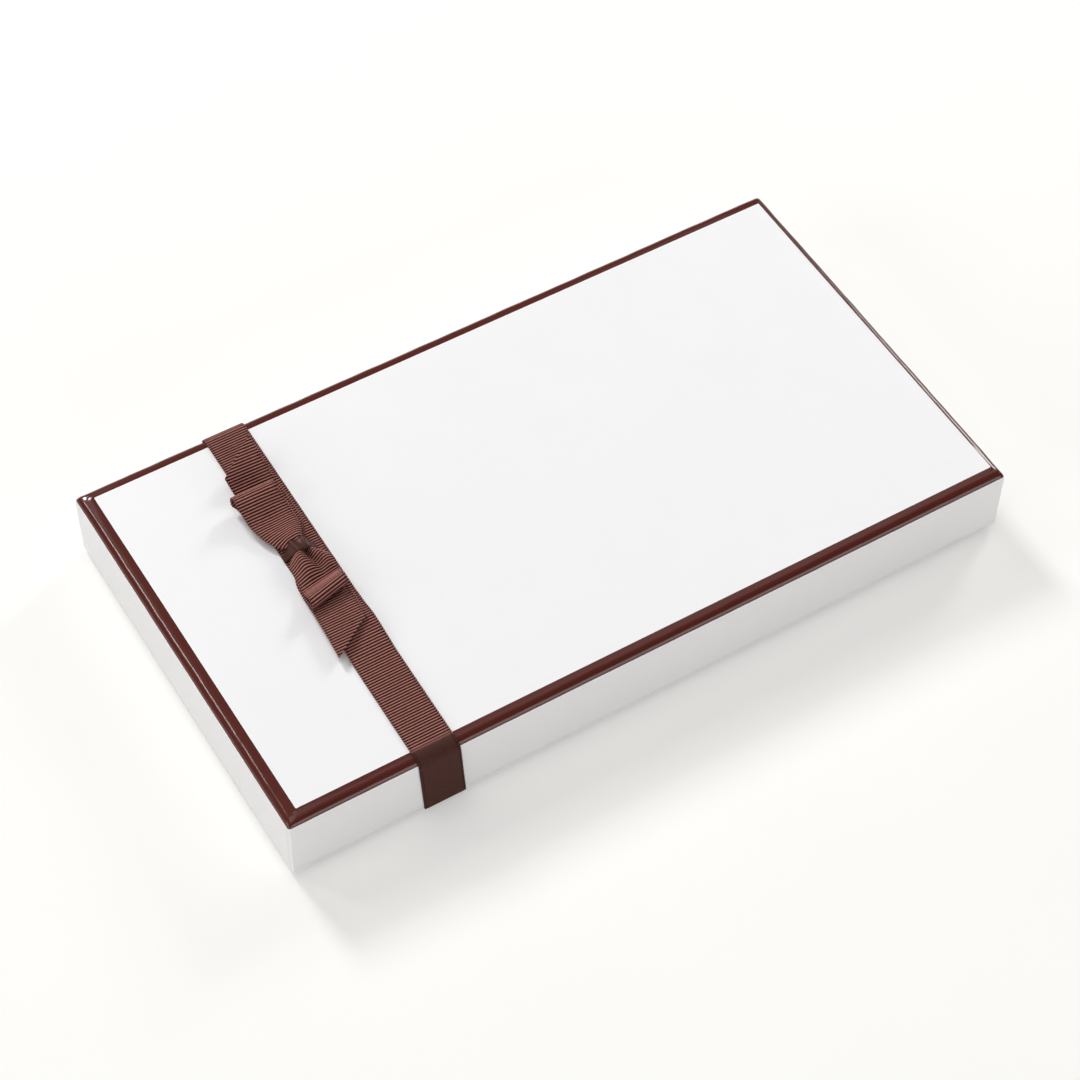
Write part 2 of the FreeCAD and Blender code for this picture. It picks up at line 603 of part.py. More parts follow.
def chocolates(box):
    """One kind in each column of cavities, standing on the cavity floors."""
    for column, (kind, mould) in enumerate(CHOCOLATES):
        for row in range(ROWS):
            body = box.body(f"chocolate_{kind}_{row + 1}")
            mould(box, body)
            body.setExpression("Placement.Base.x", f"Sizes.pitch_x * {column - (COLUMNS - 1) / 2}")
            body.setExpression("Placement.Base.y", f"Sizes.pitch_y * {row - (ROWS - 1) / 2}")
            body.setExpression("Placement.Base.z", f"{BASE_FLOOR} + Sizes.tray_deck - Sizes.cavity_depth")


# The ribbon: a band round the lid, and a bow strapped to it.


def ribbon_band(box):
    """One strip over the lid's top, down both walls and hooked up inside its rim."""
    body = box.body("ribbon_band")
    body.setExpression("Placement.Base.x", "Sizes.ribbon_place")
    section = box.sketch(body, "YZ_Plane")
    section.AttachmentOffset = FreeCAD.Placement(Vector(), FreeCAD.Rotation(Vector(0, -1, 0), 1))
    section.setExpression("AttachmentOffset.Rotation.Angle", "Sizes.ribbon_lean")
    wall, inside = "Sizes.lid_width / 2", f"{LID_INNER_Y} / 2"
    skin, within = f"({wall} + Sizes.ribbon_thick)", f"({inside} - Sizes.ribbon_thick)"
    top, rim = LID_TOP, "Sizes.rim_gap"
    over, under = f"{top} + Sizes.ribbon_thick", f"{rim} - Sizes.ribbon_thick"
    hook = f"{rim} + Sizes.ribbon_hook"
    outer_half = [(within, hook), (within, under), (skin, under), (skin, over)]
    inner_half = [(wall, top), (wall, rim), (inside, rim), (inside, hook)]
    outer_mirror = [(f"-{y}", z) for y, z in reversed(outer_half)]
    inner_mirror = [(f"-{y}", z) for y, z in reversed(inner_half)]
    outline = outer_half + outer_mirror + inner_mirror + inner_half
    placed_outline(section, [(f"{y} / cos(Sizes.ribbon_lean * 1 deg)", z) for y, z in outline])
    strip = box.pad(body, section, "Sizes.ribbon_width")
    strip.UseCustomVector = True
    strip.AlongSketchNormal = False
    strip.Direction = Vector(1, 0, 0)
    strip.SideType = "Symmetric"
    box.doc.recompute()
    lid_top = box.size("rim_gap") + box.size("lid_height")
    box.fillet(body, bends_at(lid_top), "Sizes.edge_roll")
    box.fillet(body, bends_at(lid_top + box.size("ribbon_thick")), "Sizes.edge_roll + Sizes.ribbon_thick")


def knot_wrap(box):
    """Narrow strip over the bow's waist, its two legs sloping down to the band."""
    body = box.body("bow_knot_wrap")
    section = box.sketch(body, "XZ_Plane")
    inner_z = "3 * Sizes.waist_layer"
    outer_z = f"{inner_z} + Sizes.ribbon_thick"
    top, foot = "Sizes.knot_top / 2", "Sizes.knot_foot / 2"
    inner_top, inner_foot = f"({top} - Sizes.knot_shoulder)", f"({foot} - Sizes.knot_sole)"
    right = [(inner_foot, "0"), (foot, "0"), (top, outer_z)]
    left = [(f"-{x}", z) for x, z in reversed(right)]
    placed_outline(section, right + left + [(f"-{inner_top}", inner_z), (inner_top, inner_z)])
    strap = box.pad(body, section, "Sizes.knot_length")
    strap.SideType = "Symmetric"
    places = ("Sizes.knot_x", "Sizes.knot_y", f"{LID_TOP} + Sizes.ribbon_thick")
    for axis, place in zip("xyz", places):
        body.setExpression(f"Placement.Base.{axis}", place)
    box.doc.recompute()


def smooth(share):
    """Eases from 0 to 1 as the share goes from 0 to 1, and stays there outside."""
    held = min(max(share, 0.0), 1.0)
    return held * held * (3 - 2 * held)


def strip_loft(sections):
    """Solid strip through flat sections.

    Each section gives its middle, the directions of its width and thickness, its width and its thickness.
    """
    wires = []
    for middle, across, normal, width, thick in sections:
        side, face = across * (width / 2), normal * (thick / 2)
        corners = [middle - side - face, middle + side - face, middle + side + face, middle - side + face]
        wires.append(Part.makePolygon(corners + corners[:1]))
    return Part.makeLoft(wires, True, True)


class Bow:
    """Sizes and curves of the bow, in its own frame: origin on the band under the knot, +Y to the back."""

    def __init__(self, box):
        self.box = box
        self.width, self.thick = box.size("ribbon_width"), box.size("ribbon_thick")
        self.waist, self.layer = box.size("waist_width"), box.size("waist_layer")
        self.knot_half = box.size("knot_length") / 2
        self.fan, self.rest_gap = box.size("gather_reach"), box.size("rest_gap")

    def spread(self, reach):
        """Width and thickness of the gathered ribbon at a distance from the knot's edge."""
        share = smooth(reach / self.fan)
        width = self.waist + (self.width - self.waist) * share
        thick = self.layer + (self.thick - self.layer) * share
        return width, thick

    def loop_middle(self, turn, reach, crest, heading, lean):
        """Middle line of a loop: a drop-shaped curve out from the knot and back under itself."""
        out = reach * (1 - math.cos(turn)) / 2
        waist_level = 2 * self.layer
        end_level = (crest + self.thick) / 2 + self.thick
        level = waist_level + (end_level - waist_level) * smooth(out / reach)
        half_rise = (crest - self.thick) / 2 - self.thick / 2
        rise = half_rise * math.sin(turn) * math.sin(turn / 2) + self.layer / 2 * math.cos(turn / 2)
        thick = self.spread(out)[1]
        tail_under, half_own = thick, thick / 2
        resting = tail_under + half_own + self.rest_gap * smooth(out / self.fan)
        height = max(level + rise, resting)
        return Vector(lean * (out / reach) ** 2, heading * (self.knot_half + out), height)

    def loop_half(self, start, stop, reach, crest, heading, lean, slant):
        """The upper or the lower run of a loop, from the knot to the fold at its end."""
        sections = []
        for step in range(LOFT_STEPS + 1):
            turn = start + (stop - start) * step / LOFT_STEPS
            middle = self.loop_middle(turn, reach, crest, heading, lean)
            ahead = self.loop_middle(turn + TURN_STEP, reach, crest, heading, lean)
            behind = self.loop_middle(turn - TURN_STEP, reach, crest, heading, lean)
            out = reach * (1 - math.cos(turn)) / 2
            angle = math.radians(slant) * smooth((out / reach - SLANT_START) / (1 - SLANT_START))
            across = Vector(math.cos(angle), math.sin(angle), 0)
            tangent = Vector(0, heading, 0) if out < CLOSE else ahead - behind
            normal = across.cross(tangent).normalize()
            width, thick = self.spread(out)
            sections.append((middle, across, normal, width / math.cos(angle), thick))
        return strip_loft(sections)

    def loops(self):
        """Back loop, front loop and the gathered waist between them, as one strip."""
        size = self.box.size
        waist = Part.makeBox(self.waist, 2 * self.knot_half, 2 * self.layer)
        waist.translate(Vector(-self.waist / 2, -self.knot_half, self.layer))
        back = (size("back_loop"), size("back_crest"), 1, size("back_lean"), 0.0)
        front = (size("front_loop"), size("front_crest"), -1, 0.0, size("front_slant"))
        runs = []
        for start, stop in ((0.0, math.pi), (math.pi, 2 * math.pi)):
            runs.append(self.loop_half(start, stop, *back))
            runs.append(self.loop_half(start, stop, *front))
        return waist.multiFuse(runs).removeSplitter()

    def tail_half(self, reach, heading):
        """One tail: flat on the band, its end lifted and cut on the slant."""
        lift = self.box.size("tail_lift")
        cut = math.radians(self.box.size("tail_slant"))
        square_end = reach - self.knot_half - self.width / 2 * math.tan(cut) - self.thick
        sections = []
        for step in range(LOFT_STEPS + 2):
            slanted = step > LOFT_STEPS
            out = reach - self.knot_half if slanted else square_end * step / LOFT_STEPS
            width, thick = self.spread(out)
            bottom = lift * smooth((out / reach - LIFT_START) / (1 - LIFT_START))
            middle = Vector(0, heading * (self.knot_half + out), bottom + thick / 2)
            angle = cut if slanted else 0.0
            across = Vector(math.cos(angle), math.sin(angle), 0)
            sections.append((middle, across, Vector(0, 0, 1), width / math.cos(angle), thick))
        return strip_loft(sections)

    def tails(self):
        """Both tails and their gathered waist, as one strip."""
        waist = Part.makeBox(self.waist, 2 * self.knot_half, self.layer)
        waist.translate(Vector(-self.waist / 2, -self.knot_half, 0))
        back = self.tail_half(self.box.size("back_tail"), 1)
        front = self.tail_half(self.box.size("front_tail"), -1)
        return waist.multiFuse([back, front]).removeSplitter()


def bow(box):
    """Loops, tails and the strap that holds them down."""
    shapes = Bow(box)
    height = box.size("rim_gap") + box.size("lid_height") + box.size("ribbon_thick")
    place = FreeCAD.Placement(Vector(box.size("knot_x"), box.size("knot_y"), height), FreeCAD.Rotation())
    box.solid("bow_loops", shapes.loops(), place)
    box.solid("bow_tails", shapes.tails(), place)
    knot_wrap(box)


def main():
    """Builds every piece and writes the files."""
    box = BoxDocument()
    lid_pieces(box)
    base_pieces(box)
    insert_tray(box)
    chocolates(box)
    ribbon_band(box)
    bow(box)
    box.finish()


if __name__ == "__main__":
    main()
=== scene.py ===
import logging
import math
from dataclasses import dataclass
from enum import Enum

import bpy
import numpy as np
from mathutils import Matrix, Vector


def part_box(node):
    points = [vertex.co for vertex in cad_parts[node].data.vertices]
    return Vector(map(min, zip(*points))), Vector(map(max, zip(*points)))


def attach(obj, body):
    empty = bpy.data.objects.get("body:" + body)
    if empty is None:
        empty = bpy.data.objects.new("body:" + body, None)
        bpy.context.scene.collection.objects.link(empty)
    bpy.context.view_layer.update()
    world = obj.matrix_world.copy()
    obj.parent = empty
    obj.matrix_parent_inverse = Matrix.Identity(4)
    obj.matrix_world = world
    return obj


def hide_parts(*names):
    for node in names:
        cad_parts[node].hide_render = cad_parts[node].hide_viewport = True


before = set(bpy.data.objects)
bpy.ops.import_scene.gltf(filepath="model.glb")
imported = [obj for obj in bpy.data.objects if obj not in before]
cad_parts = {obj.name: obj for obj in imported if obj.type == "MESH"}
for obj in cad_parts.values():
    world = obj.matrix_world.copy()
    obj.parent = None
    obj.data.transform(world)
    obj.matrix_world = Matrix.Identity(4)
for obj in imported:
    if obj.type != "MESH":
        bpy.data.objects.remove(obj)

# A flat chocolate box: paper-wrapped lid and base, a ribbed ribbon with a bow, and what lies inside.
# Shapes are worked out in millimetres, in the frame's own axes, and become metres when a mesh is made.

MM = 0.001
LOG = logging.getLogger("chocolate_box")
# A difference that counts as none, and a length that keeps a division from failing.
NEAR = 1e-6
TINY = 1e-9
# Waves in one unit of a wave texture at a scale of 1.
WAVES_PER_UNIT = 20 / (2 * math.pi)
# Places of the share, the two colours and the result among the sockets of a node that mixes colours.
MIX_SHARE, MIX_FIRST, MIX_SECOND, MIX_RESULT = 0, 6, 7, 2


class Body(str, Enum):
    """The two bodies of the box that pieces ride on."""

    LID = "lid"
    BASE = "base"


class Slot(str, Enum):
    """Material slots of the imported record."""

    PRINTED_PAPER = "printed_gloss_paper"
    PAPER = "gloss_paper"
    RIBBON = "grosgrain_ribbon"
    KNOT = "satin_ribbon"


# Nodes, colours and meshes


def linear(code: str) -> tuple[float, float, float, float]:
    """Turns an sRGB hex colour into linear red, green, blue and alpha.

    Args:
        code: the colour, such as "#5A2E2A".

    Returns:
        The linear colour with full alpha.
    """
    channels = [int(code[i : i + 2], 16) / 255 for i in (1, 3, 5)]
    red, green, blue = ((c + 0.055) ** 2.4 / 1.055**2.4 if c > 0.04045 else c / 12.92 for c in channels)
    return red, green, blue, 1.0


def per_metre(size_mm: float) -> float:
    """Texture scale that repeats a pattern once in that many millimetres."""
    return 1.0 / (size_mm * MM)


def add_node(
    tree: bpy.types.NodeTree, kind: str, inputs: dict | None = None, **settings: str | bool
) -> bpy.types.Node:
    """Adds a node with its settings, values and links.

    Args:
        tree: the node tree.
        kind: the node's Blender type, without the words that all shader nodes start with.
        inputs: a value or another node's output for each input, by its name or place.
        settings: property values of the node.

    Returns:
        The new node.
    """
    node = tree.nodes.new("ShaderNode" + kind)
    for name, value in settings.items():
        setattr(node, name, value)
    for name, value in (inputs or {}).items():
        if isinstance(value, bpy.types.NodeSocket):
            tree.links.new(value, node.inputs[name])
        else:
            node.inputs[name].default_value = value
    return node


def new_material(name: str) -> tuple[bpy.types.Material, bpy.types.NodeTree]:
    """Makes an empty material.

    Args:
        name: the material's name.

    Returns:
        The material and its node tree.
    """
    material = bpy.data.materials.new(name)
    material.use_nodes = True
    material.node_tree.nodes.clear()
    return material, material.node_tree


def mesh_object(name: str, points_mm: np.ndarray, faces: list[list[int]]) -> bpy.types.Object:
    """Makes a smooth mesh object in the frame.

    Args:
        name: the piece's name.
        points_mm: corner points in millimetres, one row each.
        faces: corner numbers of each face.

    Returns:
        The new object, linked to the scene.
    """
    mesh = bpy.data.meshes.new(name)
    mesh.from_pydata((points_mm * MM).tolist(), [], faces)
    mesh.polygons.foreach_set("use_smooth", [True] * len(mesh.polygons))
    mesh.validate()
    mesh.update()
    piece = bpy.data.objects.new(name, mesh)
    bpy.context.scene.collection.objects.link(piece)
    return piece


def dress(piece: bpy.types.Object, *materials: bpy.types.Material) -> None:
    """Gives a piece its materials, in slot order.

    Args:
        piece: the piece.
        materials: its materials.
    """
    piece.data.materials.clear()
    for material in materials:
        piece.data.materials.append(material)


def eased(share: np.ndarray | float) -> np.ndarray | float:
    """Eases from 0 to 1 as the share goes from 0 to 1, and stays there outside."""
    held = np.clip(share, 0.0, 1.0)
    return held * held * (3 - 2 * held)


def wander(places: np.ndarray, lengths: tuple[float, ...], seed: int) -> np.ndarray:
    """A smooth uneven line, between about -1 and 1, the same on every run.

    Args:
        places: distances along the line.
        lengths: wave lengths that are added up.
        seed: chooses the waves' starts.

    Returns:
        One value for each place.
    """
    starts = np.random.default_rng(seed).uniform(0, 2 * math.pi, len(lengths))
    waves = [np.sin(2 * math.pi * places / length + start) for length, start in zip(lengths, starts)]
    return sum(waves) / math.sqrt(len(lengths))


def spline(points: np.ndarray, shares: np.ndarray) -> np.ndarray:
    """Smooth curve through points.

    Args:
        points: the points, along the first axis.
        shares: places on the curve, from 0 at the first point to 1 at the last.

    Returns:
        The curve's points at those places, along the first axis.
    """
    padded = np.concatenate([2 * points[:1] - points[1:2], points, 2 * points[-1:] - points[-2:-1]])
    spans = len(points) - 1
    span = np.minimum((shares * spans).astype(int), spans - 1)
    part = (shares * spans - span).reshape((-1,) + (1,) * (points.ndim - 1))
    before, start, stop, after = (padded[span + i] for i in range(4))
    bend = 2 * before - 5 * start + 4 * stop - after
    twist = 3 * (start - stop) + after - before
    return start + part * ((stop - before) + part * (bend + part * twist)) / 2


# Finishes


@dataclass(frozen=True)
class CoatedPaper:
    """Clay-coated art paper under a gloss film: bright, even, with sharp highlights on its folds."""

    name: str
    colour: str
    shade: str
    roughness: float
    film: float
    index: float = 1.5
    film_roughness: float = 0.05
    gloss_spread: float = 0.2
    mottle_mm: float = 14.0
    board_mm: float = 7.0
    board_depth_mm: float = 0.1
    board_strength: float = 0.25
    # The real grain is too fine to show, so it is drawn this coarse.
    grain_mm: float = 0.5
    grain_depth_mm: float = 0.02
    grain_strength: float = 0.12
    details: tuple[float, float, float] = (3.0, 1.0, 2.0)
    worn: str = ""
    speck_mm: float = 0.9
    speck_range: tuple[float, float] = (0.55, 0.62)

    def material(self) -> bpy.types.Material:
        """Builds the paper: faint cloudiness, and the board's unevenness showing through the film.

        Returns:
            The material.
        """
        material, tree = new_material(self.name)
        place = add_node(tree, "TexCoord").outputs["Object"]
        sizes = zip((self.mottle_mm, self.board_mm, self.grain_mm), self.details)
        patterns = [{"Vector": place, "Scale": per_metre(size), "Detail": detail} for size, detail in sizes]
        cloud, board, grain = (add_node(tree, "TexNoise", pattern).outputs["Fac"] for pattern in patterns)
        tones = {MIX_SHARE: cloud, MIX_FIRST: linear(self.colour), MIX_SECOND: linear(self.shade)}
        tint = add_node(tree, "Mix", tones, data_type="RGBA").outputs[MIX_RESULT]
        if self.worn:
            tint = self.rubbed(tree, place, tint)
        swell = {"Strength": self.board_strength, "Distance": self.board_depth_mm * MM, "Height": board}
        skin = {"Strength": self.grain_strength, "Distance": self.grain_depth_mm * MM, "Height": grain}
        skin["Normal"] = add_node(tree, "Bump", swell).outputs["Normal"]
        least, most = (self.roughness * (1 + spread) for spread in (-self.gloss_spread, self.gloss_spread))
        gloss = add_node(tree, "MapRange", {"Value": grain, "To Min": least, "To Max": most})
        surface = {
            "Base Color": tint,
            "Roughness": gloss.outputs["Result"],
            "IOR": self.index,
            "Coat Weight": self.film,
            "Coat Roughness": self.film_roughness,
            "Normal": add_node(tree, "Bump", skin).outputs["Normal"],
        }
        shader = add_node(tree, "BsdfPrincipled", surface).outputs["BSDF"]
        add_node(tree, "OutputMaterial", {"Surface": shader})
        return material

    def rubbed(
        self, tree: bpy.types.NodeTree, place: bpy.types.NodeSocket, tint: bpy.types.NodeSocket
    ) -> bpy.types.NodeSocket:
        """Adds specks of bare paper where the ink is rubbed off.

        Args:
            tree: the paper's node tree.
            place: coordinates in the frame.
            tint: the ink's colour.

        Returns:
            The colour with its specks.
        """
        rub = add_node(tree, "Attribute", attribute_name="rub").outputs["Fac"]
        pattern = {"Vector": place, "Scale": per_metre(self.speck_mm)}
        specks = add_node(tree, "TexNoise", pattern).outputs["Fac"]
        bare = add_node(tree, "Math", {0: rub, 1: specks}, operation="MULTIPLY").outputs["Value"]
        least, most = self.speck_range
        edge = add_node(tree, "MapRange", {"Value": bare, "From Min": least, "From Max": most})
        tones = {MIX_SHARE: edge.outputs["Result"], MIX_FIRST: tint, MIX_SECOND: linear(self.worn)}
        return add_node(tree, "Mix", tones, data_type="RGBA").outputs[MIX_RESULT]


@dataclass(frozen=True)
class FibreSheet:
    """Uncoated pressed fibre: grey board, gummed tape or lining paper, matte, with flecks of fibre."""

    name: str
    colour: str
    fleck: str
    fleck_mm: float
    fleck_stretch: tuple[float, float, float] = (0.35, 1.0, 1.0)
    fleck_detail: float = 6.0
    fleck_range: tuple[float, float] = (0.5, 0.75)
    felt_depth_mm: float = 0.05
    felt_strength: float = 0.35
    roughness: float = 0.85
    index: float = 1.45

    def material(self) -> bpy.types.Material:
        """Builds the sheet: flecks drawn out along X, and a felt-like bump.

        Returns:
            The material.
        """
        material, tree = new_material(self.name)
        place = add_node(tree, "TexCoord").outputs["Object"]
        drawn = add_node(tree, "Mapping", {"Vector": place, "Scale": self.fleck_stretch}).outputs["Vector"]
        pattern = {"Vector": drawn, "Scale": per_metre(self.fleck_mm), "Detail": self.fleck_detail}
        fibre = add_node(tree, "TexNoise", pattern).outputs["Fac"]
        least, most = self.fleck_range
        amount = add_node(tree, "MapRange", {"Value": fibre, "From Min": least, "From Max": most})
        tones = {
            MIX_SHARE: amount.outputs["Result"],
            MIX_FIRST: linear(self.colour),
            MIX_SECOND: linear(self.fleck),
        }
        felt = {"Strength": self.felt_strength, "Distance": self.felt_depth_mm * MM, "Height": fibre}
        surface = {
            "Base Color": add_node(tree, "Mix", tones, data_type="RGBA").outputs[MIX_RESULT],
            "Roughness": self.roughness,
            "IOR": self.index,
            "Normal": add_node(tree, "Bump", felt).outputs["Normal"],
        }
        shader = add_node(tree, "BsdfPrincipled", surface).outputs["BSDF"]
        add_node(tree, "OutputMaterial", {"Surface": shader})
        return material


@dataclass(frozen=True)
class WovenPolyester:
    """Woven polyester ribbon of filament threads and weft, with painted light in its colour: a painted
    highlight on the rib crests and painted shade in the grooves.
    """

    name: str
    # crest is the rib colour with a painted highlight in it, and groove is a near-black painted shade for
    # the grooves.
    crest: str
    groove: str
    shine: str
    roughness: float
    thread_mm: float
    thread_strength: float
    specular: float
    dull: float = 0.8
    index: float = 1.57
    thread_depth_mm: float = 0.04
    thread_sway: float = 0.6
    thread_detail: float = 1.0
    patches_per_mm: float = 0.9
    patch_detail: float = 4.0
    wear: float = 0.25

    def material(self) -> bpy.types.Material:
        """Builds the weave: threads along the ribbon, and the painted highlight and painted shade that its
        ribs carry.

        Returns:
            The material.
        """
        material, tree = new_material(self.name)
        weave = add_node(tree, "UVMap", uv_map="weave").outputs["UV"]
        # The weave's map is in millimetres.
        lines = {
            "Vector": weave,
            "Scale": 1 / (WAVES_PER_UNIT * self.thread_mm),
            "Distortion": self.thread_sway,
            "Detail": self.thread_detail,
        }
        threads = add_node(tree, "TexWave", lines, bands_direction="X", wave_profile="SIN").outputs["Fac"]
        # This share paints light. It moves the colour towards crest on the rib crests as a painted
        # highlight, and towards groove as painted shade in the grooves, in the selvedge and where the
        # ribbon is taut. Random patches make it uneven.
        painted_sheen_and_shade = add_node(tree, "Attribute", attribute_name="painted_sheen_and_shade").outputs["Fac"]
        pattern = {"Vector": weave, "Scale": self.patches_per_mm, "Detail": self.patch_detail}
        patches = add_node(tree, "TexNoise", pattern).outputs["Fac"]
        limits = {"Value": patches, "To Min": 1 - self.wear, "To Max": 1 + self.wear}
        worn = add_node(tree, "MapRange", limits).outputs["Result"]
        shine = add_node(tree, "Math", {0: painted_sheen_and_shade, 1: worn}, operation="MULTIPLY", use_clamp=True)
        share = shine.outputs["Value"]
        tones = {MIX_SHARE: share, MIX_FIRST: linear(self.groove), MIX_SECOND: linear(self.crest)}
        gloss = add_node(tree, "MapRange", {"Value": share, "To Min": self.dull, "To Max": self.roughness})
        depth = self.thread_depth_mm * MM
        relief = {"Strength": self.thread_strength, "Distance": depth, "Height": threads}
        surface = {
            "Base Color": add_node(tree, "Mix", tones, data_type="RGBA").outputs[MIX_RESULT],
            "Roughness": gloss.outputs["Result"],
            "IOR": self.index,
            "Specular IOR Level": self.specular,
            "Specular Tint": linear(self.shine),
            "Normal": add_node(tree, "Bump", relief).outputs["Normal"],
        }
        shader = add_node(tree, "BsdfPrincipled", surface).outputs["BSDF"]
        add_node(tree, "OutputMaterial", {"Surface": shader})
        return material


@dataclass(frozen=True)
class FormedFilm:
    """Thermoformed dark brown film: glossy, with the mould's slight orange peel."""

    name: str = "thermoformed_brown_film"
    colour: str = "#3A2013"
    thin: str = "#4A2A18"
    roughness: float = 0.18
    index: float = 1.57
    peel_mm: float = 2.2
    peel_detail: float = 1.0
    peel_depth_mm: float = 0.05
    peel_strength: float = 0.2

    def material(self) -> bpy.types.Material:
        """Builds the film.

        Returns:
            The material.
        """
        material, tree = new_material(self.name)
        place = add_node(tree, "TexCoord").outputs["Object"]
        pattern = {"Vector": place, "Scale": per_metre(self.peel_mm), "Detail": self.peel_detail}
        peel = add_node(tree, "TexNoise", pattern).outputs["Fac"]
        tones = {MIX_SHARE: peel, MIX_FIRST: linear(self.colour), MIX_SECOND: linear(self.thin)}
        relief = {"Strength": self.peel_strength, "Distance": self.peel_depth_mm * MM, "Height": peel}
        surface = {
            "Base Color": add_node(tree, "Mix", tones, data_type="RGBA").outputs[MIX_RESULT],
            "Roughness": self.roughness,
            "IOR": self.index,
            "Normal": add_node(tree, "Bump", relief).outputs["Normal"],
        }
        shader = add_node(tree, "BsdfPrincipled", surface).outputs["BSDF"]
        add_node(tree, "OutputMaterial", {"Surface": shader})
        return material


@dataclass(frozen=True)
class Couverture:
    """Tempered chocolate from a polished mould: satin shine, faint clouding, a few tiny air marks."""

    name: str
    colour: str
    cloud: str
    roughness: float = 0.32
    index: float = 1.46
    glow: float = 0.08
    glow_mm: float = 0.6
    cloud_mm: float = 6.0
    mark_mm: float = 1.4
    mark_depth_mm: float = 0.08
    mark_strength: float = 0.15
    details: tuple[float, float] = (4.0, 2.0)

    def material(self) -> bpy.types.Material:
        """Builds the chocolate.

        Returns:
            The material.
        """
        material, tree = new_material(self.name)
        place = add_node(tree, "TexCoord").outputs["Object"]
        sizes = zip((self.cloud_mm, self.mark_mm), self.details)
        patterns = [{"Vector": place, "Scale": per_metre(size), "Detail": detail} for size, detail in sizes]
        cloud, marks = (add_node(tree, "TexNoise", pattern).outputs["Fac"] for pattern in patterns)
        tones = {MIX_SHARE: cloud, MIX_FIRST: linear(self.colour), MIX_SECOND: linear(self.cloud)}
        relief = {"Strength": self.mark_strength, "Distance": self.mark_depth_mm * MM, "Height": marks}
        surface = {
            "Base Color": add_node(tree, "Mix", tones, data_type="RGBA").outputs[MIX_RESULT],
            "Roughness": self.roughness,
            "IOR": self.index,
            "Subsurface Weight": self.glow,
            "Subsurface Scale": self.glow_mm * MM,
            "Normal": add_node(tree, "Bump", relief).outputs["Normal"],
        }
        shader = add_node(tree, "BsdfPrincipled", surface).outputs["BSDF"]
        add_node(tree, "OutputMaterial", {"Surface": shader})
        return material


WHITE_PAPER = CoatedPaper("gloss_coated_art_paper", "#F6F5F6", "#F2F2F3", roughness=0.42, film=0.04)
BROWN_PRINT = CoatedPaper(
    "gloss_coated_art_paper_printed_brown",
    "#59261F",
    "#54231C",
    roughness=0.2,
    film=0.25,
    index=1.4,
    worn="#C9B5AC",
)
GREY_BOARD = FibreSheet("pressed_grey_board", "#8B857C", "#5F5A53", fleck_mm=1.6)
STAY_TAPE = FibreSheet("gummed_paper_tape", "#C9B48F", "#A88F66", fleck_mm=1.2)
LINING_PAPER = FibreSheet("uncoated_lining_paper", "#EDEBE4", "#DDD8CC", fleck_mm=0.9)
# In each ribbon, the crest colour holds a painted highlight and the groove colour is painted shade.
GROSGRAIN = WovenPolyester(
    "woven_polyester_grosgrain",
    crest="#B77B71",
    groove="#0A0302",
    shine="#FFB4A8",
    roughness=0.32,
    thread_mm=0.157,
    thread_strength=0.2,
    specular=0.15,
)
SATIN = WovenPolyester(
    "woven_polyester_satin",
    crest="#3E2019",
    groove="#331812",
    shine="#FFCDC4",
    roughness=0.4,
    thread_mm=0.1257,
    thread_strength=0.12,
    specular=0.25,
)
TRAY_FILM = FormedFilm()
DARK_CHOCOLATE = Couverture("moulded_dark_chocolate", "#2B140C", "#35190F")
MILK_CHOCOLATE = Couverture("moulded_milk_chocolate", "#5A2F18", "#643720")
WHITE_CHOCOLATE = Couverture("moulded_white_chocolate", "#EBDDB6", "#E3D2A4")


# Paper-wrapped shells


@dataclass
class Ring:
    """One closed line round a shell: how far in from each side, how deep from its closed face.

    Its lean goes from 0 on the closed face to 1 on the walls, and its level the other way.
    """

    insets: tuple[float, float, float, float]
    depth: float
    corner: float
    lean: float = 0.0
    level: float = 1.0
    inked: bool = False


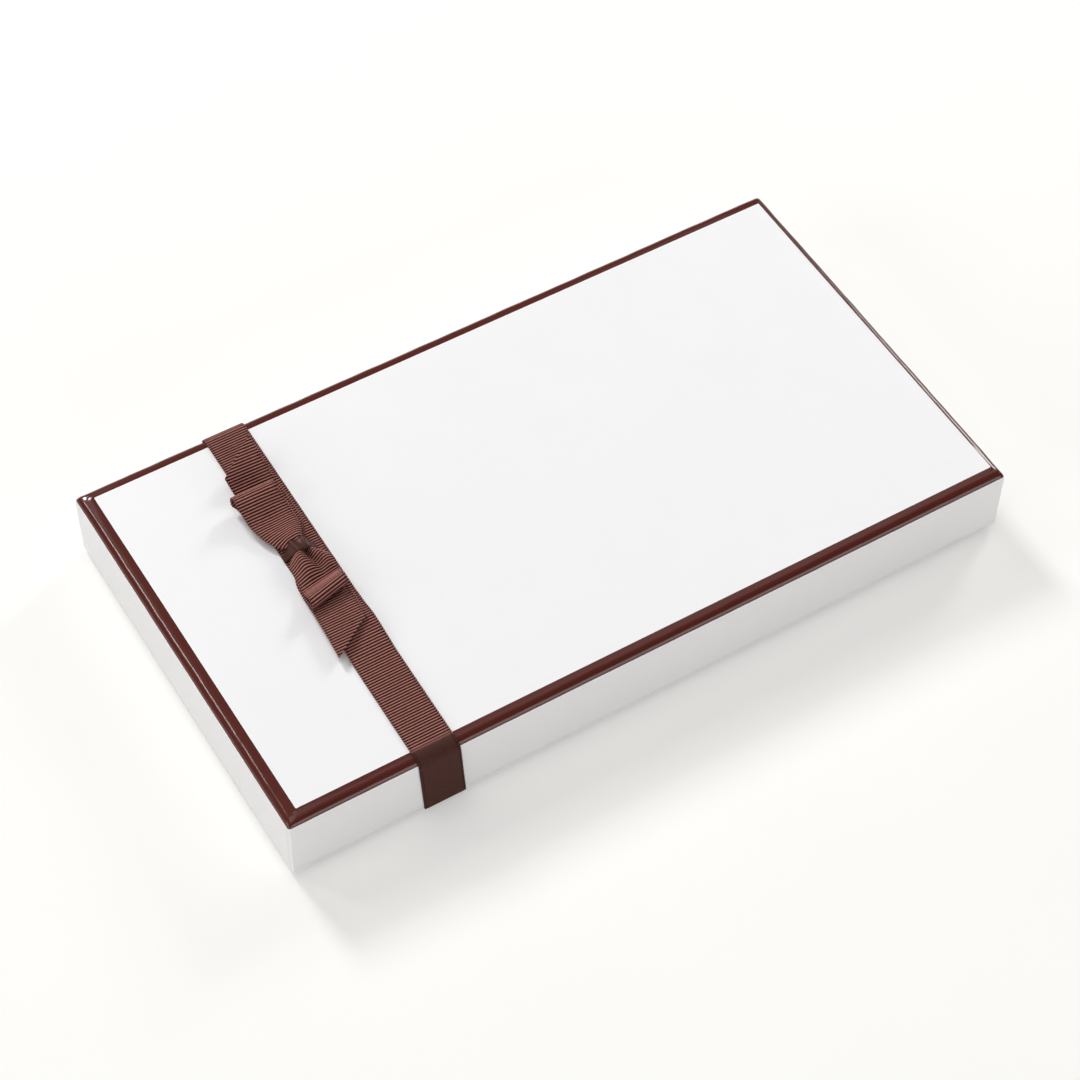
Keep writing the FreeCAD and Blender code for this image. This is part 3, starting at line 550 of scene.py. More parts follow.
@dataclass
class WrappedShell:
    """Paper drawn over a folded board: closed face, rolled edges, walls, and a turn-in over the rim.

    Insets are in the order left, right, front, back.
    """

    node: str
    body: Body
    slot: Slot
    closed_up: bool
    panel: tuple[float, float, float, float]
    window: float = 0.0
    inked: bool = False
    roll: float = 2.6
    ink_angle: float = 70.0
    wall: float = 2.1
    turn_in: float = 12.0
    paper: float = 0.28
    wall_corner: float = 0.7
    crown_corner: float = 1.5
    step: float = 1.3
    corner_steps: int = 8
    roll_steps: int = 12
    crown: float = 0.12
    uneven: float = 0.035
    pillow: float = 0.12
    pillow_reach: float = 7.0
    seam_depth: float = 0.24
    seam_half: float = 0.16
    seam_margin: float = 0.1
    roll_margin: float = 0.1
    least_border: float = 0.25
    window_corner: float = 0.4
    panel_corner: float = 0.3
    inner_corner: float = 0.25
    rim_bend: float = 0.35
    rim_steps: int = 7
    bare_steps: int = 5
    least_steps: int = 4
    face_shares: tuple[float, ...] = (0.97, 0.75, 0.5, 0.25, 0.08)
    border_shares: tuple[float, ...] = (0.35, 0.7)
    wall_shares: tuple[float, ...] = (0.05, 0.3, 0.6, 0.9, 1.0)
    waves: tuple[float, ...] = (9.0, 15.0, 27.0, 61.0)
    waves_seed: int = 5
    rub_reach: float = 1.0
    rub_leans: tuple[float, float] = (0.6, 0.97)

    def __post_init__(self) -> None:
        """Takes the outer size from the frame."""
        low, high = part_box(self.node)
        self.half = ((high.x - low.x) / 2 / MM, (high.y - low.y) / 2 / MM)
        self.height = (high.z - low.z) / MM
        self.closed_level = (high.z if self.closed_up else low.z) / MM

    def run(self, length: float) -> np.ndarray:
        """Places along one straight side, closer together at its ends for the corner seams.

        Args:
            length: the side's length.

        Returns:
            The places, from 0 to 1.
        """
        count = max(int(length / self.step), self.least_steps)
        close = np.array([self.seam_half, 2 * self.seam_half]) / length
        even = np.linspace(0, 1, count + 1)[1:-1]
        return np.concatenate([close, even, 1 - close[::-1]])

    def outline(self, ring: Ring) -> np.ndarray:
        """Points of one ring in plan, from the front left corner round to the right.

        Args:
            ring: the ring.

        Returns:
            Its points, X and Y.
        """
        left, right, front, back = ring.insets
        sides = (self.half[0] - right, self.half[1] - back, -self.half[0] + left, -self.half[1] + front)
        far_x, far_y, near_x, near_y = sides
        corners = np.array([(near_x, near_y), (far_x, near_y), (far_x, far_y), (near_x, far_y)])
        centres = corners + ring.corner * np.array([(1, 1), (-1, 1), (-1, -1), (1, -1)])
        turn = np.linspace(math.pi, 1.5 * math.pi, self.corner_steps)
        arcs = []
        for i, centre in enumerate(centres):
            angle = turn + i * math.pi / 2
            arcs.append(centre + ring.corner * np.stack([np.cos(angle), np.sin(angle)], axis=1))
        points = []
        for i, arc in enumerate(arcs):
            run = self.run(2 * self.half[i % 2])[:, None]
            points += [arc, arc[-1] + run * (arcs[(i + 1) % 4][0] - arc[-1])]
        return np.concatenate(points)

    def rings(self) -> list[Ring]:
        """Lays the rings from the middle of the closed face, over the roll and the rim, to the turn-in.

        Returns:
            The rings, in order.
        """
        panel = np.array(self.panel)
        spare = min(self.half) - panel.max()
        rolls = np.minimum(self.roll, panel - self.least_border)
        corner = self.panel_corner
        if self.window:
            border = panel - self.window
            made = [self.flat(self.window + border * share, self.window_corner) for share in (0.0, 0.5)]
        else:
            made = [self.flat(panel + spare * share, corner, share) for share in self.face_shares]
        made.append(self.flat(panel, corner))
        for share in self.border_shares:
            made.append(self.flat(panel + (rolls - panel) * share, corner + share, inked=self.inked))
        ink_edge = math.radians(self.ink_angle)
        before = np.linspace(0, ink_edge, self.roll_steps)
        after = np.linspace(ink_edge, math.pi / 2, self.bare_steps)[1:]
        for angle in np.concatenate([before, after]):
            lean = math.sin(angle)
            made.append(
                Ring(
                    insets=tuple(rolls * (1 - lean)),
                    depth=self.roll * (1 - math.cos(angle)),
                    corner=self.crown_corner + (self.wall_corner - self.crown_corner) * lean**2,
                    lean=lean,
                    level=math.cos(angle),
                    inked=self.inked and angle <= ink_edge + NEAR,
                )
            )
        return made + self.wall_rings()

    def flat(self, insets: np.ndarray, corner: float, inward: float = 0.0, inked: bool = False) -> Ring:
        """A ring on the closed face, which crowns a little as it goes inward to the middle."""
        return Ring(tuple(insets), -self.crown * inward, corner, inked=inked)

    def wall_rings(self) -> list[Ring]:
        """Lays the rings down the wall, round the rim and up inside to the end of the turn-in.

        Returns:
            The rings, in order.
        """
        bend = self.rim_bend
        straight = self.height - bend - self.roll
        places = [(0.0, self.roll + straight * share, self.wall_corner) for share in self.wall_shares]
        for angle in np.linspace(0, math.pi, self.rim_steps)[1:]:
            past = angle - math.pi / 2
            if past > 0:
                inset = self.wall - bend + bend * math.sin(past)
                depth = self.height - bend + bend * math.cos(past)
            else:
                inset = bend * (1 - math.cos(angle))
                depth = self.height - bend + bend * math.sin(angle)
            places.append((inset, depth, max(self.wall_corner - inset, self.inner_corner)))
        for share in (0.5, 1.0):
            places.append((self.wall, self.height - self.turn_in * share, self.inner_corner))
        return [Ring((inset,) * 4, depth, corner, lean=1.0, level=0.0) for inset, depth, corner in places]

    def surface(self, rings: list[Ring]) -> tuple[np.ndarray, np.ndarray]:
        """Places the points of every ring, with the paper's unevenness, sunk corners and seams.

        Args:
            rings: the rings.

        Returns:
            The points, ring after ring, and how far the ink is rubbed off at each.
        """
        wall_loop = self.outline(Ring((0.0,) * 4, 0.0, self.wall_corner))
        steps = np.linalg.norm(np.roll(wall_loop, -1, axis=0) - wall_loop, axis=1)
        along = np.concatenate([[0.0], np.cumsum(steps)[:-1]])
        near_corner = self.corner_distance(wall_loop)
        outward = self.outward(wall_loop)
        bumps = self.uneven * wander(along, self.waves, self.waves_seed)
        sink = self.pillow * np.exp(-((near_corner / self.pillow_reach) ** 2))
        groove = outward * self.seam(wall_loop)[:, None]
        worn = np.exp(-((near_corner / self.rub_reach) ** 2))
        least, most = self.rub_leans
        sign = -1.0 if self.closed_up else 1.0
        points, rub = [], []
        for ring in rings:
            # The paper is most uneven halfway round the roll.
            shift = bumps * ring.lean * ring.level * 2
            depth = ring.depth - shift * ring.level
            if ring.insets[0] < self.roll + self.roll_margin:
                depth += sink * ring.level
            plan = self.outline(ring) + outward * (shift * ring.lean)[:, None]
            if ring.lean == 1.0 and ring.insets[0] == 0.0:
                plan -= groove
            points.append(np.column_stack([plan, self.closed_level + sign * depth]))
            rub.append(worn * (least < ring.lean < most))
        return np.concatenate(points), np.concatenate(rub)

    def faces(self, rings: list[Ring], count: int) -> tuple[list[list[int]], list[bool]]:
        """Joins each ring to the next, and closes the face where it has no window.

        Args:
            rings: the rings.
            count: points of each ring.

        Returns:
            Corner numbers of each face, and whether it is printed.
        """
        faces, inked = [], []
        for row, ring in enumerate(rings[1:]):
            for i in range(count):
                a, b = row * count + i, row * count + (i + 1) % count
                if self.closed_up:
                    faces.append([a, a + count, b + count, b])
                else:
                    faces.append([a, b, b + count, a + count])
                inked.append(ring.inked)
        if not self.window:
            middle = list(range(count))
            faces.append(middle if self.closed_up else middle[::-1])
            inked.append(False)
        return faces, inked

    def build(self) -> bpy.types.Object:
        """Builds the paper as one skin of its real thickness.

        Returns:
            The piece, riding on its body.
        """
        rings = self.rings()
        points, rub = self.surface(rings)
        faces, inked = self.faces(rings, len(points) // len(rings))
        piece = mesh_object(self.node + "_paper", points, faces)
        dress(piece, WHITE_PAPER.material(), BROWN_PRINT.material())
        piece.data.polygons.foreach_set("material_index", np.array(inked, dtype=np.int32))
        piece.data.attributes.new("rub", "FLOAT", "POINT").data.foreach_set("value", rub)
        solid = piece.modifiers.new("paper thickness", "SOLIDIFY")
        solid.thickness = self.paper * MM
        solid.offset = -1.0
        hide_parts(self.node)
        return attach(piece, self.body.value)

    def corner_distance(self, loop: np.ndarray) -> np.ndarray:
        """Distance of each point of an outline from the nearest upright corner."""
        return np.hypot(self.half[0] - np.abs(loop[:, 0]), self.half[1] - np.abs(loop[:, 1]))

    def outward(self, loop: np.ndarray) -> np.ndarray:
        """Finds the outward direction in plan at each point of an outline.

        Args:
            loop: the outline's points.

        Returns:
            One direction for each point.
        """
        ahead = np.roll(loop, -1, axis=0) - np.roll(loop, 1, axis=0)
        normal = np.column_stack([ahead[:, 1], -ahead[:, 0]])
        return normal / np.linalg.norm(normal, axis=1, keepdims=True)

    def seam(self, loop: np.ndarray) -> np.ndarray:
        """Sinks the lapped seam, a fine groove on each end wall beside the corner.

        Args:
            loop: the outline's points.

        Returns:
            The groove's depth at each point.
        """
        on_end = np.abs(loop[:, 0]) > self.half[0] - NEAR
        beside = self.half[1] - self.wall_corner - np.abs(loop[:, 1])
        wanted = self.seam_half * (self.half[1] - self.wall_corner) / self.half[1]
        return np.where(on_end & (np.abs(beside - wanted) < self.seam_margin), self.seam_depth, 0.0)


# Ribbon


@dataclass
class Weave:
    """Sizes of the ribbon's cloth, in millimetres."""

    width: float = 12.0
    core: float = 0.16
    rib_height: float = 0.44
    rib_pitch: float = 0.82
    rib_round: float = 1.7
    rib_steps: int = 10
    plain_height: float = 0.4
    # Share of the painted crest highlight kept where the ribbon is taut; the rest is painted shade.
    taut_painted_sheen: float = 0.06
    scallop: float = 0.12
    sharp_deg: float = 80.0
    fine_steps: int = 60
    selvedge: float = 0.6
    # Shares of the selvedge's width, from the edge inward.
    edge_columns: tuple[float, ...] = (0.0, 0.3, 0.6, 0.8)
    cloth_start: float = 1.1
    groove_place: float = 0.8
    groove_half: float = 0.2
    edge_round: float = 0.3
    # Shares of the cloth's thickness.
    groove_depth: float = 0.5
    edge_loss: float = 0.45


@dataclass
class RibbonStrip:
    """A woven strip with real ribs on both faces, laid along a middle surface."""

    name: str
    weave: Weave
    ribbed: bool = True

    def crest(self, along: np.ndarray) -> np.ndarray:
        """Share of a rib's height at each place along the ribbon: round crests, with grooves between that
        are also painted dark as shade.
        """
        return np.abs(np.sin(math.pi * along / self.weave.rib_pitch)) ** self.weave.rib_round

    def columns(self, count: int) -> np.ndarray:
        """Spreads places across the ribbon, with the selvedge's edges added.

        Args:
            count: places across the cloth between the selvedges.

        Returns:
            The places, from -1 to 1.
        """
        margin = 2 * self.weave.selvedge / self.weave.width
        edge = 1 - margin * np.array(self.weave.edge_columns)
        inner = 1 - margin * self.weave.cloth_start
        return np.concatenate([-edge, np.linspace(-inner, inner, count), edge[::-1]])

    def selvedge(self, across: np.ndarray) -> np.ndarray:
        """Thins the cloth for the selvedge cord: a fine groove, then a thinner round edge.

        Args:
            across: places across the ribbon, from -1 to 1.

        Returns:
            The share of its thickness that the cloth loses at each place.
        """
        weave = self.weave
        inward = (1 - np.abs(across)) * weave.width / (2 * weave.selvedge)
        groove = np.clip(1 - np.abs(inward - weave.groove_place) / weave.groove_half, 0, 1)
        rounded = 1 - np.clip(inward / weave.edge_round, 0, 1)
        return np.clip(weave.groove_depth * groove + weave.edge_loss * rounded, 0, 1)

    def build(
        self, middle: np.ndarray, along: np.ndarray, across: np.ndarray, relief: np.ndarray | float = 1.0
    ) -> bpy.types.Object:
        """Makes the strip as a closed sheet of cloth.

        Args:
            middle: points of its middle surface, along by across.
            along: distance along the ribbon of each row.
            across: place across it of each point, from -1 to 1.
            relief: share of the ribs' full height and of their painted highlight, for each row or for all.

        Returns:
            The piece.
        """
        forward = np.gradient(middle, axis=0)
        sideways = np.gradient(middle, axis=1)
        normal = np.cross(sideways, forward)
        normal /= np.maximum(np.linalg.norm(normal, axis=2, keepdims=True), TINY)
        crest = self.crest(along) if self.ribbed else np.ones(len(along))
        height = (1 - (1 - crest) * relief) * (1 if self.ribbed else self.weave.plain_height)
        selvedge = self.selvedge(across)
        half = (self.weave.core + self.weave.rib_height * height[:, None]) / 2 * (1 - selvedge)
        if self.ribbed:
            reach = sideways / np.maximum(np.linalg.norm(sideways, axis=2, keepdims=True), TINY)
            edge = np.sign(across) * (np.abs(across) > 1 - NEAR)
            middle = middle + reach * (edge * self.weave.scallop * crest[:, None])[:, :, None]
        offset = normal * half[:, :, None]
        rows, columns = middle.shape[:2]
        points = np.concatenate([(middle + offset).reshape(-1, 3), (middle - offset).reshape(-1, 3)])
        piece = mesh_object(self.name, points, self.faces(rows, columns))
        piece.data.set_sharp_from_angle(angle=math.radians(self.weave.sharp_deg))
        # Painted light: the rib crests are painted light and the grooves dark. Where the ribbon is taut the
        # crests are mostly painted dark too, as shade. The selvedge's groove and edge are painted darker as
        # well.
        painted_taut_shade = self.weave.taut_painted_sheen + (1 - self.weave.taut_painted_sheen) * relief
        painted_sheen_and_shade = ((1 - (1 - crest**2) * relief) * painted_taut_shade)[:, None] * (1 - selvedge)
        both = np.concatenate([painted_sheen_and_shade.ravel(), painted_sheen_and_shade.ravel()])
        piece.data.attributes.new("painted_sheen_and_shade", "FLOAT", "POINT").data.foreach_set("value", both)
        places = np.broadcast_arrays(across * self.weave.width / 2, along[:, None])
        weave = np.stack(places, axis=2).reshape(-1, 2)
        corner = np.zeros(len(piece.data.loops), dtype=np.int32)
        piece.data.loops.foreach_get("vertex_index", corner)
        weave_map = piece.data.uv_layers.new(name="weave")
        weave_map.data.foreach_set("uv", np.concatenate([weave, weave])[corner].ravel())
        return piece

    def faces(self, rows: int, columns: int) -> list[list[int]]:
        """Faces of both sides of the sheet and of its four edges.

        Args:
            rows: points along the ribbon.
            columns: points across it.

        Returns:
            Corner numbers of each face.
        """
        under = rows * columns
        made = []
        for i in range(rows - 1):
            for j in range(columns - 1):
                a, b = i * columns + j, i * columns + j + 1
                made.append([a, b, b + columns, a + columns])
                made.append([a + under, a + columns + under, b + columns + under, b + under])
        first, last = list(range(columns)), list(range(under - columns, under))
        left, right = list(range(0, under, columns)), list(range(columns - 1, under, columns))
        for line, turned in ((first, True), (last, False), (left, False), (right, True)):
            for a, b in zip(line, line[1:]):
                made.append([a + under, b + under, b, a] if turned else [a, b, b + under, a + under])
        return made


def even_rows(net: np.ndarray, weave: Weave) -> tuple[np.ndarray, np.ndarray]:
    """Fills in a net of points along its strip with evenly spaced rows.

    Args:
        net: the net's points, along by across.
        weave: the ribbon's sizes, for the spacing of the rows.

    Returns:
        The rows' points, along by across, and the distance along the strip of each row.
    """
    fine = spline(net, np.linspace(0, 1, weave.fine_steps * len(net)))
    lengths = np.linalg.norm(np.diff(fine, axis=0), axis=2).mean(axis=1)
    travelled = np.concatenate([[0.0], np.cumsum(lengths)])
    count = int(travelled[-1] / weave.rib_pitch * weave.rib_steps) + 1
    along = np.linspace(0, travelled[-1], count)
    lines = [[np.interp(along, travelled, fine[:, j, k]) for k in range(3)] for j in range(net.shape[1])]
    return np.stack(lines).transpose(2, 0, 1), along


def across_rows(rows: np.ndarray, across: np.ndarray) -> np.ndarray:
    """Fills in each row of a strip at its own places.

    Args:
        rows: points of the strip, along by across.
        across: places in each row, from -1 to 1, one line for all rows or one for each.

    Returns:
        The strip's points, along by across.
    """
    if len(across) == 1:
        return spline(rows.transpose(1, 0, 2), (across[0] + 1) / 2).transpose(1, 0, 2)
    return np.stack([spline(row, (places + 1) / 2) for row, places in zip(rows, across)])


@dataclass
class RibbonBand:
    """The strip round the lid: over its top, down both long walls and hooked up inside the rim."""

    weave: Weave
    hook: float = 10.0
    wall: float = 2.1
    roll: float = 2.6
    rim_bend: float = 0.45
    lean_deg: float = 0.8
    place: float = -66.3
    clearance: float = 0.02
    columns: int = 9
    bend_steps: int = 9
    taut_relief: float = 0.08
    fade: float = 1.8
    wall_lean_deg: float = 3.7
    hump_y: tuple[float, ...] = (-28.5, -26.5, -23.5, -20.0, -17.5, -15.2, -10.2, -4.7)
    hump_z: tuple[float, ...] = (0.0, 0.15, 0.6, 1.1, 1.35, 1.4, 0.5, 0.0)

    def path(self) -> np.ndarray:
        """Lays the strip's middle line from the hook at the front to the hook at the back.

        Returns:
            The line's points, Y and Z.
        """
        low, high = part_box("lid_wrap")
        skin = (self.weave.core + self.weave.rib_height) / 2 + self.clearance
        side, top, rim = high.y / MM + skin, high.z / MM + skin, low.z / MM - skin
        inside = high.y / MM - self.wall - skin
        bend, roll = self.rim_bend, self.roll + skin
        quarter = np.linspace(0, math.pi / 2, self.bend_steps)
        sine, cosine = np.sin(quarter), np.cos(quarter)
        back = np.concatenate(
            [
                [[0.0, top]],
                np.column_stack([side - roll + roll * sine, top - roll + roll * cosine]),
                np.column_stack([side - bend + bend * cosine, rim + bend - bend * sine]),
                np.column_stack([inside + bend - bend * sine, rim + bend - bend * cosine]),
                [[inside, rim + self.hook]],
            ]
        )
        front = back[:0:-1] * np.array([-1.0, 1.0])
        return np.concatenate([front, back])

    def build(self) -> bpy.types.Object:
        """Builds the band.

        Returns:
            The piece, riding on the lid.
        """
        strip = RibbonStrip("ribbon_band_woven", self.weave)
        across = strip.columns(self.columns)[None, :]
        path = self.path()
        steps = np.linalg.norm(np.diff(path, axis=0), axis=1)
        travelled = np.concatenate([[0.0], np.cumsum(steps)])
        count = int(travelled[-1] / self.weave.rib_pitch * self.weave.rib_steps)
        along = np.linspace(0, travelled[-1], count + 1)
        y, z = (np.interp(along, travelled, path[:, k]) for k in range(2))
        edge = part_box("lid_wrap")[1].y / MM - self.roll
        # It crosses the lid nearly square, and leans to the right down the front wall.
        past_edge = np.clip(travelled[-1] / 2 - edge - along, 0, None)
        lean, wall_lean = (math.tan(math.radians(angle)) for angle in (self.lean_deg, self.wall_lean_deg))
        x = self.place + lean * y + wall_lean * past_edge
        middle = np.zeros((len(along), across.shape[1], 3))
        middle[:, :, 0] = x[:, None] + across * self.weave.width / 2
        middle[:, :, 1] = y[:, None]
        # The strip stands up a little in front of the bow that is tied over it.
        middle[:, :, 2] = (z + np.interp(y, self.hump_y, self.hump_z))[:, None]
        # It is pulled taut round the lid's edges and on its walls, where its ribs hardly stand out and it
        # is painted darker, as shade.
        reach = np.where(y < 0, (edge + y) / self.fade, (edge + self.roll - y) / self.roll)
        relief = self.taut_relief + (1 - self.taut_relief) * eased(reach)
        piece = strip.build(middle, along, across, relief)
        dress(piece, GROSGRAIN.material())
        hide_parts("ribbon_band")
        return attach(piece, Body.LID.value)


@dataclass
class Bow:
    """The bow: two tails, two loops pinched at the waist, and the strip that straps them down.

    Its own frame has its origin on the band under the knot, +Y to the back.
    """

    weave: Weave
    knot: tuple[float, float] = (-67.3, 12.3)
    tail_cuts: tuple[float, float] = (8.4, 9.0)
    cut_tip: float = 0.98
    slant_start: float = 0.2
    knot_sag: float = 0.25
    knot_height: float = 4.0
    net_columns: int = 5
    tail_columns: int = 13
    loop_columns: int = 29
    knot_columns: int = 9

    def __post_init__(self) -> None:
        """Finds the band's upper face in the frame."""
        self.origin = np.array([*self.knot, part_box("ribbon_band")[1].z / MM])

    def finish_strip(
        self, name: str, node: str, net: np.ndarray, columns: int, cuts: tuple[float, ...] = ()
    ) -> tuple[bpy.types.Object, float]:
        """Weaves a strip over a net and dresses it.

        Args:
            name: the piece's name.
            node: the node that it stands for.
            net: points along by across, in the bow's frame.
            columns: points across its middle.
            cuts: length along the ribbon that each slanted end cut takes, if it has them.

        Returns:
            The piece, riding on the lid, and its length.
        """
        strip = RibbonStrip(name, self.weave)
        across = strip.columns(columns)[None, :]
        rows, along = even_rows(net, self.weave)
        if cuts:
            # The front end's tip is on the left, the back end's tip on the right.
            right = np.clip(2 * along / cuts[0] - 1, -self.cut_tip, 1)[:, None]
            left = np.clip(1 - 2 * (along[-1] - along) / cuts[1], -1, self.cut_tip)[:, None]
            across = left + (right - left) * (across + 1) / 2
        middle = across_rows(rows, across)
        piece = strip.build(middle + self.origin, along, across)
        dress(piece, GROSGRAIN.material())
        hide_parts(node)
        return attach(piece, Body.LID.value), along[-1]

    def tails(self) -> bpy.types.Object:
        """Builds the tails: flat on the band, ends lifted and cut on the slant.

        Returns:
            The piece.
        """
        half = self.weave.width / 2
        shares = np.linspace(-1, 1, self.net_columns)
        # Along the strip from the front tip: reach, sideways shift, half width, height at left and right.
        stations = (
            (-36.3, -2.0, half, 2.3, 2.0),
            (-32.4, -1.8, half, 2.6, 2.3),
            (-28.4, -1.5, half, 2.6, 2.4),
            (-24.0, -1.2, half, 2.3, 2.2),
            (-20.0, -0.9, half, 1.8, 1.8),
            (-17.0, -0.7, half, 1.3, 1.3),
            (-14.0, -0.5, half, 0.9, 0.9),
            (-10.0, -0.3, half * 0.93, 0.5, 0.5),
            (-4.5, 0.0, half * 0.6, 0.55, 0.55),
            (0.0, 0.0, half * 0.35, 0.7, 0.7),
            (4.5, 0.0, half * 0.6, 0.55, 0.55),
            (10.0, 0.1, half * 0.93, 0.5, 0.5),
            (18.0, 0.0, half, 0.55, 0.55),
            (22.5, -0.1, half, 0.7, 0.7),
            (25.0, -0.3, half, 1.6, 1.5),
            (27.5, -0.5, half, 2.8, 2.5),
            (30.0, -0.7, half, 4.2, 3.6),
            (33.0, -0.7, half, 5.3, 4.8),
            (36.0, -0.7, half, 6.1, 5.7),
            (38.0, -0.7, half, 6.4, 6.2),
        )
        net = np.zeros((len(stations), len(shares), 3))
        for row, (reach, shift, width, left, right) in enumerate(stations):
            net[row, :, 0] = shift + shares * width
            net[row, :, 1] = reach
            net[row, :, 2] = left + (right - left) * (shares + 1) / 2
        piece, length = self.finish_strip(
            "bow_tails_woven", "bow_tails", net, self.tail_columns, self.tail_cuts
        )
        return piece

    def back_loop(self) -> np.ndarray:
        """Lays the back loop: out along the top from the knot, round its end and back underneath.

        Returns:
            Its net of points.
        """
        # Across: left edge, left flank, left, middle, right, right flank, right edge.
        top = (
            (1.2, (-2.0, -1.6, -0.9, 0.0, 0.9, 1.6, 2.0), (2.2, 2.9, 3.3, 3.0, 3.3, 3.0, 2.4)),
            (3.2, (-4.2, -3.3, -2.0, -0.6, 0.7, 1.7, 2.4), (1.2, 2.2, 3.3, 3.8, 4.0, 3.8, 2.9)),
            (5.2, (-5.6, -4.3, -2.6, -0.9, 0.8, 2.2, 3.2), (1.3, 2.1, 2.9, 3.4, 3.7, 3.6, 2.8)),
            (9.0, (-7.2, -5.4, -3.4, -1.4, 0.7, 2.6, 4.1), (1.7, 2.0, 2.2, 2.3, 2.5, 2.6, 2.4)),
            (12.5, (-8.0, -6.0, -3.9, -1.8, 0.3, 2.4, 4.2), (2.2, 2.2, 2.1, 2.1, 2.2, 2.3, 2.3)),
            (15.5, (-8.4, -6.4, -4.3, -2.2, -0.1, 2.0, 3.9), (3.7, 3.7, 3.7, 3.7, 3.7, 3.6, 3.5)),
            (17.8, (-8.7, -6.7, -4.6, -2.5, -0.4, 1.7, 3.6), (5.3, 5.3, 5.3, 5.3, 5.2, 5.1, 5.0)),
        )
        end = ((19.4, 6.0), (20.9, 5.7), (22.0, 4.7), (22.4, 3.3), (21.6, 1.8))
        under = (
            (20.0, 1.2, -1.8, 6.0),
            (13.0, 1.15, -1.0, 6.0),
            (7.0, 1.15, -0.5, 4.4),
            (1.2, 1.6, 0.0, 2.0),
        )
        return self.loop_net(top, end, under, heading=1.0, slant=0.0)

    def front_loop(self) -> np.ndarray:
        """Lays the front loop: gathered into two ridges at the knot, flat at its slanted end.

        Returns:
            Its net of points.
        """
        # Across: left edge, left flank, left ridge, its foot, crease, right bulge, right edge.
        top = (
            (1.2, (-2.0, -1.6, -0.9, 0.0, 0.9, 1.6, 2.0), (2.2, 2.9, 3.4, 2.8, 2.2, 3.0, 2.4)),
            (2.8, (-4.3, -3.4, -2.0, -0.8, 0.7, 2.5, 4.2), (1.2, 2.4, 4.3, 3.8, 1.5, 3.4, 2.0)),
            (4.6, (-5.0, -3.9, -2.2, -0.7, 1.1, 3.3, 5.4), (1.2, 2.3, 4.4, 3.8, 1.7, 3.9, 2.0)),
            (7.0, (-5.4, -4.1, -2.2, -0.3, 1.7, 4.1, 6.2), (1.3, 2.2, 3.9, 3.5, 2.0, 3.7, 2.4)),
            (9.6, (-5.8, -4.2, -2.3, -0.3, 1.8, 4.1, 6.2), (1.6, 2.2, 2.9, 2.8, 2.2, 2.9, 2.5)),
            (12.2, (-6.1, -4.3, -2.4, -0.4, 1.6, 3.8, 5.9), (2.0, 2.0, 2.1, 2.1, 2.1, 2.2, 2.3)),
            (14.8, (-6.7, -4.8, -2.9, -0.9, 1.1, 3.2, 5.3), (4.3, 4.3, 4.3, 4.3, 4.3, 4.3, 4.3)),
        )
        end = ((16.5, 5.3), (17.7, 4.9), (18.2, 3.9), (17.6, 2.9))
        under = (
            (12.5, 1.15, -0.5, 6.0),
            (9.0, 1.15, -0.3, 5.8),
            (5.0, 1.15, 0.0, 4.2),
            (1.2, 1.6, 0.0, 2.0),
        )
        return self.loop_net(top, end, under, heading=-1.0, slant=0.26)

    def loop_net(self, top: tuple, end: tuple, under: tuple, heading: float, slant: float) -> np.ndarray:
        """Joins a loop's upper run, end fold and lower run into one net.

        Args:
            top: rows of the upper run: reach, places across and heights.
            end: rows of the end fold: reach and height.
            under: rows of the lower run: reach, height, sideways shift and half width.
            heading: 1 to the back, -1 to the front.
            slant: how much further out the end is on its left, for each millimetre across.

        Returns:
            The net, from the knot over the top and back to the knot.
        """
        rows = [(reach, np.array(x), np.array(z)) for reach, x, z in top]
        last_x = rows[-1][1]
        rows += [(reach, last_x, np.full(len(last_x), z)) for reach, z in end]
        shares = np.linspace(-1, 1, len(last_x))
        rows += [(reach, shift + shares * half, np.full(len(last_x), z)) for reach, z, shift, half in under]
        far = max(reach for reach, _, _ in rows)
        net = np.zeros((len(rows), len(last_x), 3))
        for i, (reach, x, z) in enumerate(rows):
            tilt = slant * eased((reach / far - self.slant_start) / (1 - self.slant_start))
            net[i, :, 0] = x
            net[i, :, 1] = heading * (reach - tilt * x)
            net[i, :, 2] = z
        return net

    def loops(self, knot: bpy.types.Object) -> bpy.types.Object:
        """Builds both loops as one strip that runs through the waist.

        Args:
            knot: the strip that holds the waist; not used.

        Returns:
            The piece.
        """
        back, front = self.back_loop(), self.front_loop()
        # Out under the back loop, over it to the waist, over the front loop and back under that.
        net = np.concatenate([back[::-1], front])
        piece, length = self.finish_strip("bow_loops_woven", "bow_loops", net, self.loop_columns)
        return piece

    def knot_wrap(self) -> bpy.types.Object:
        """Builds the narrow strap: flat on top between two ridges, its flanks spread down to the band.

        Returns:
            The piece, riding on the lid.
        """
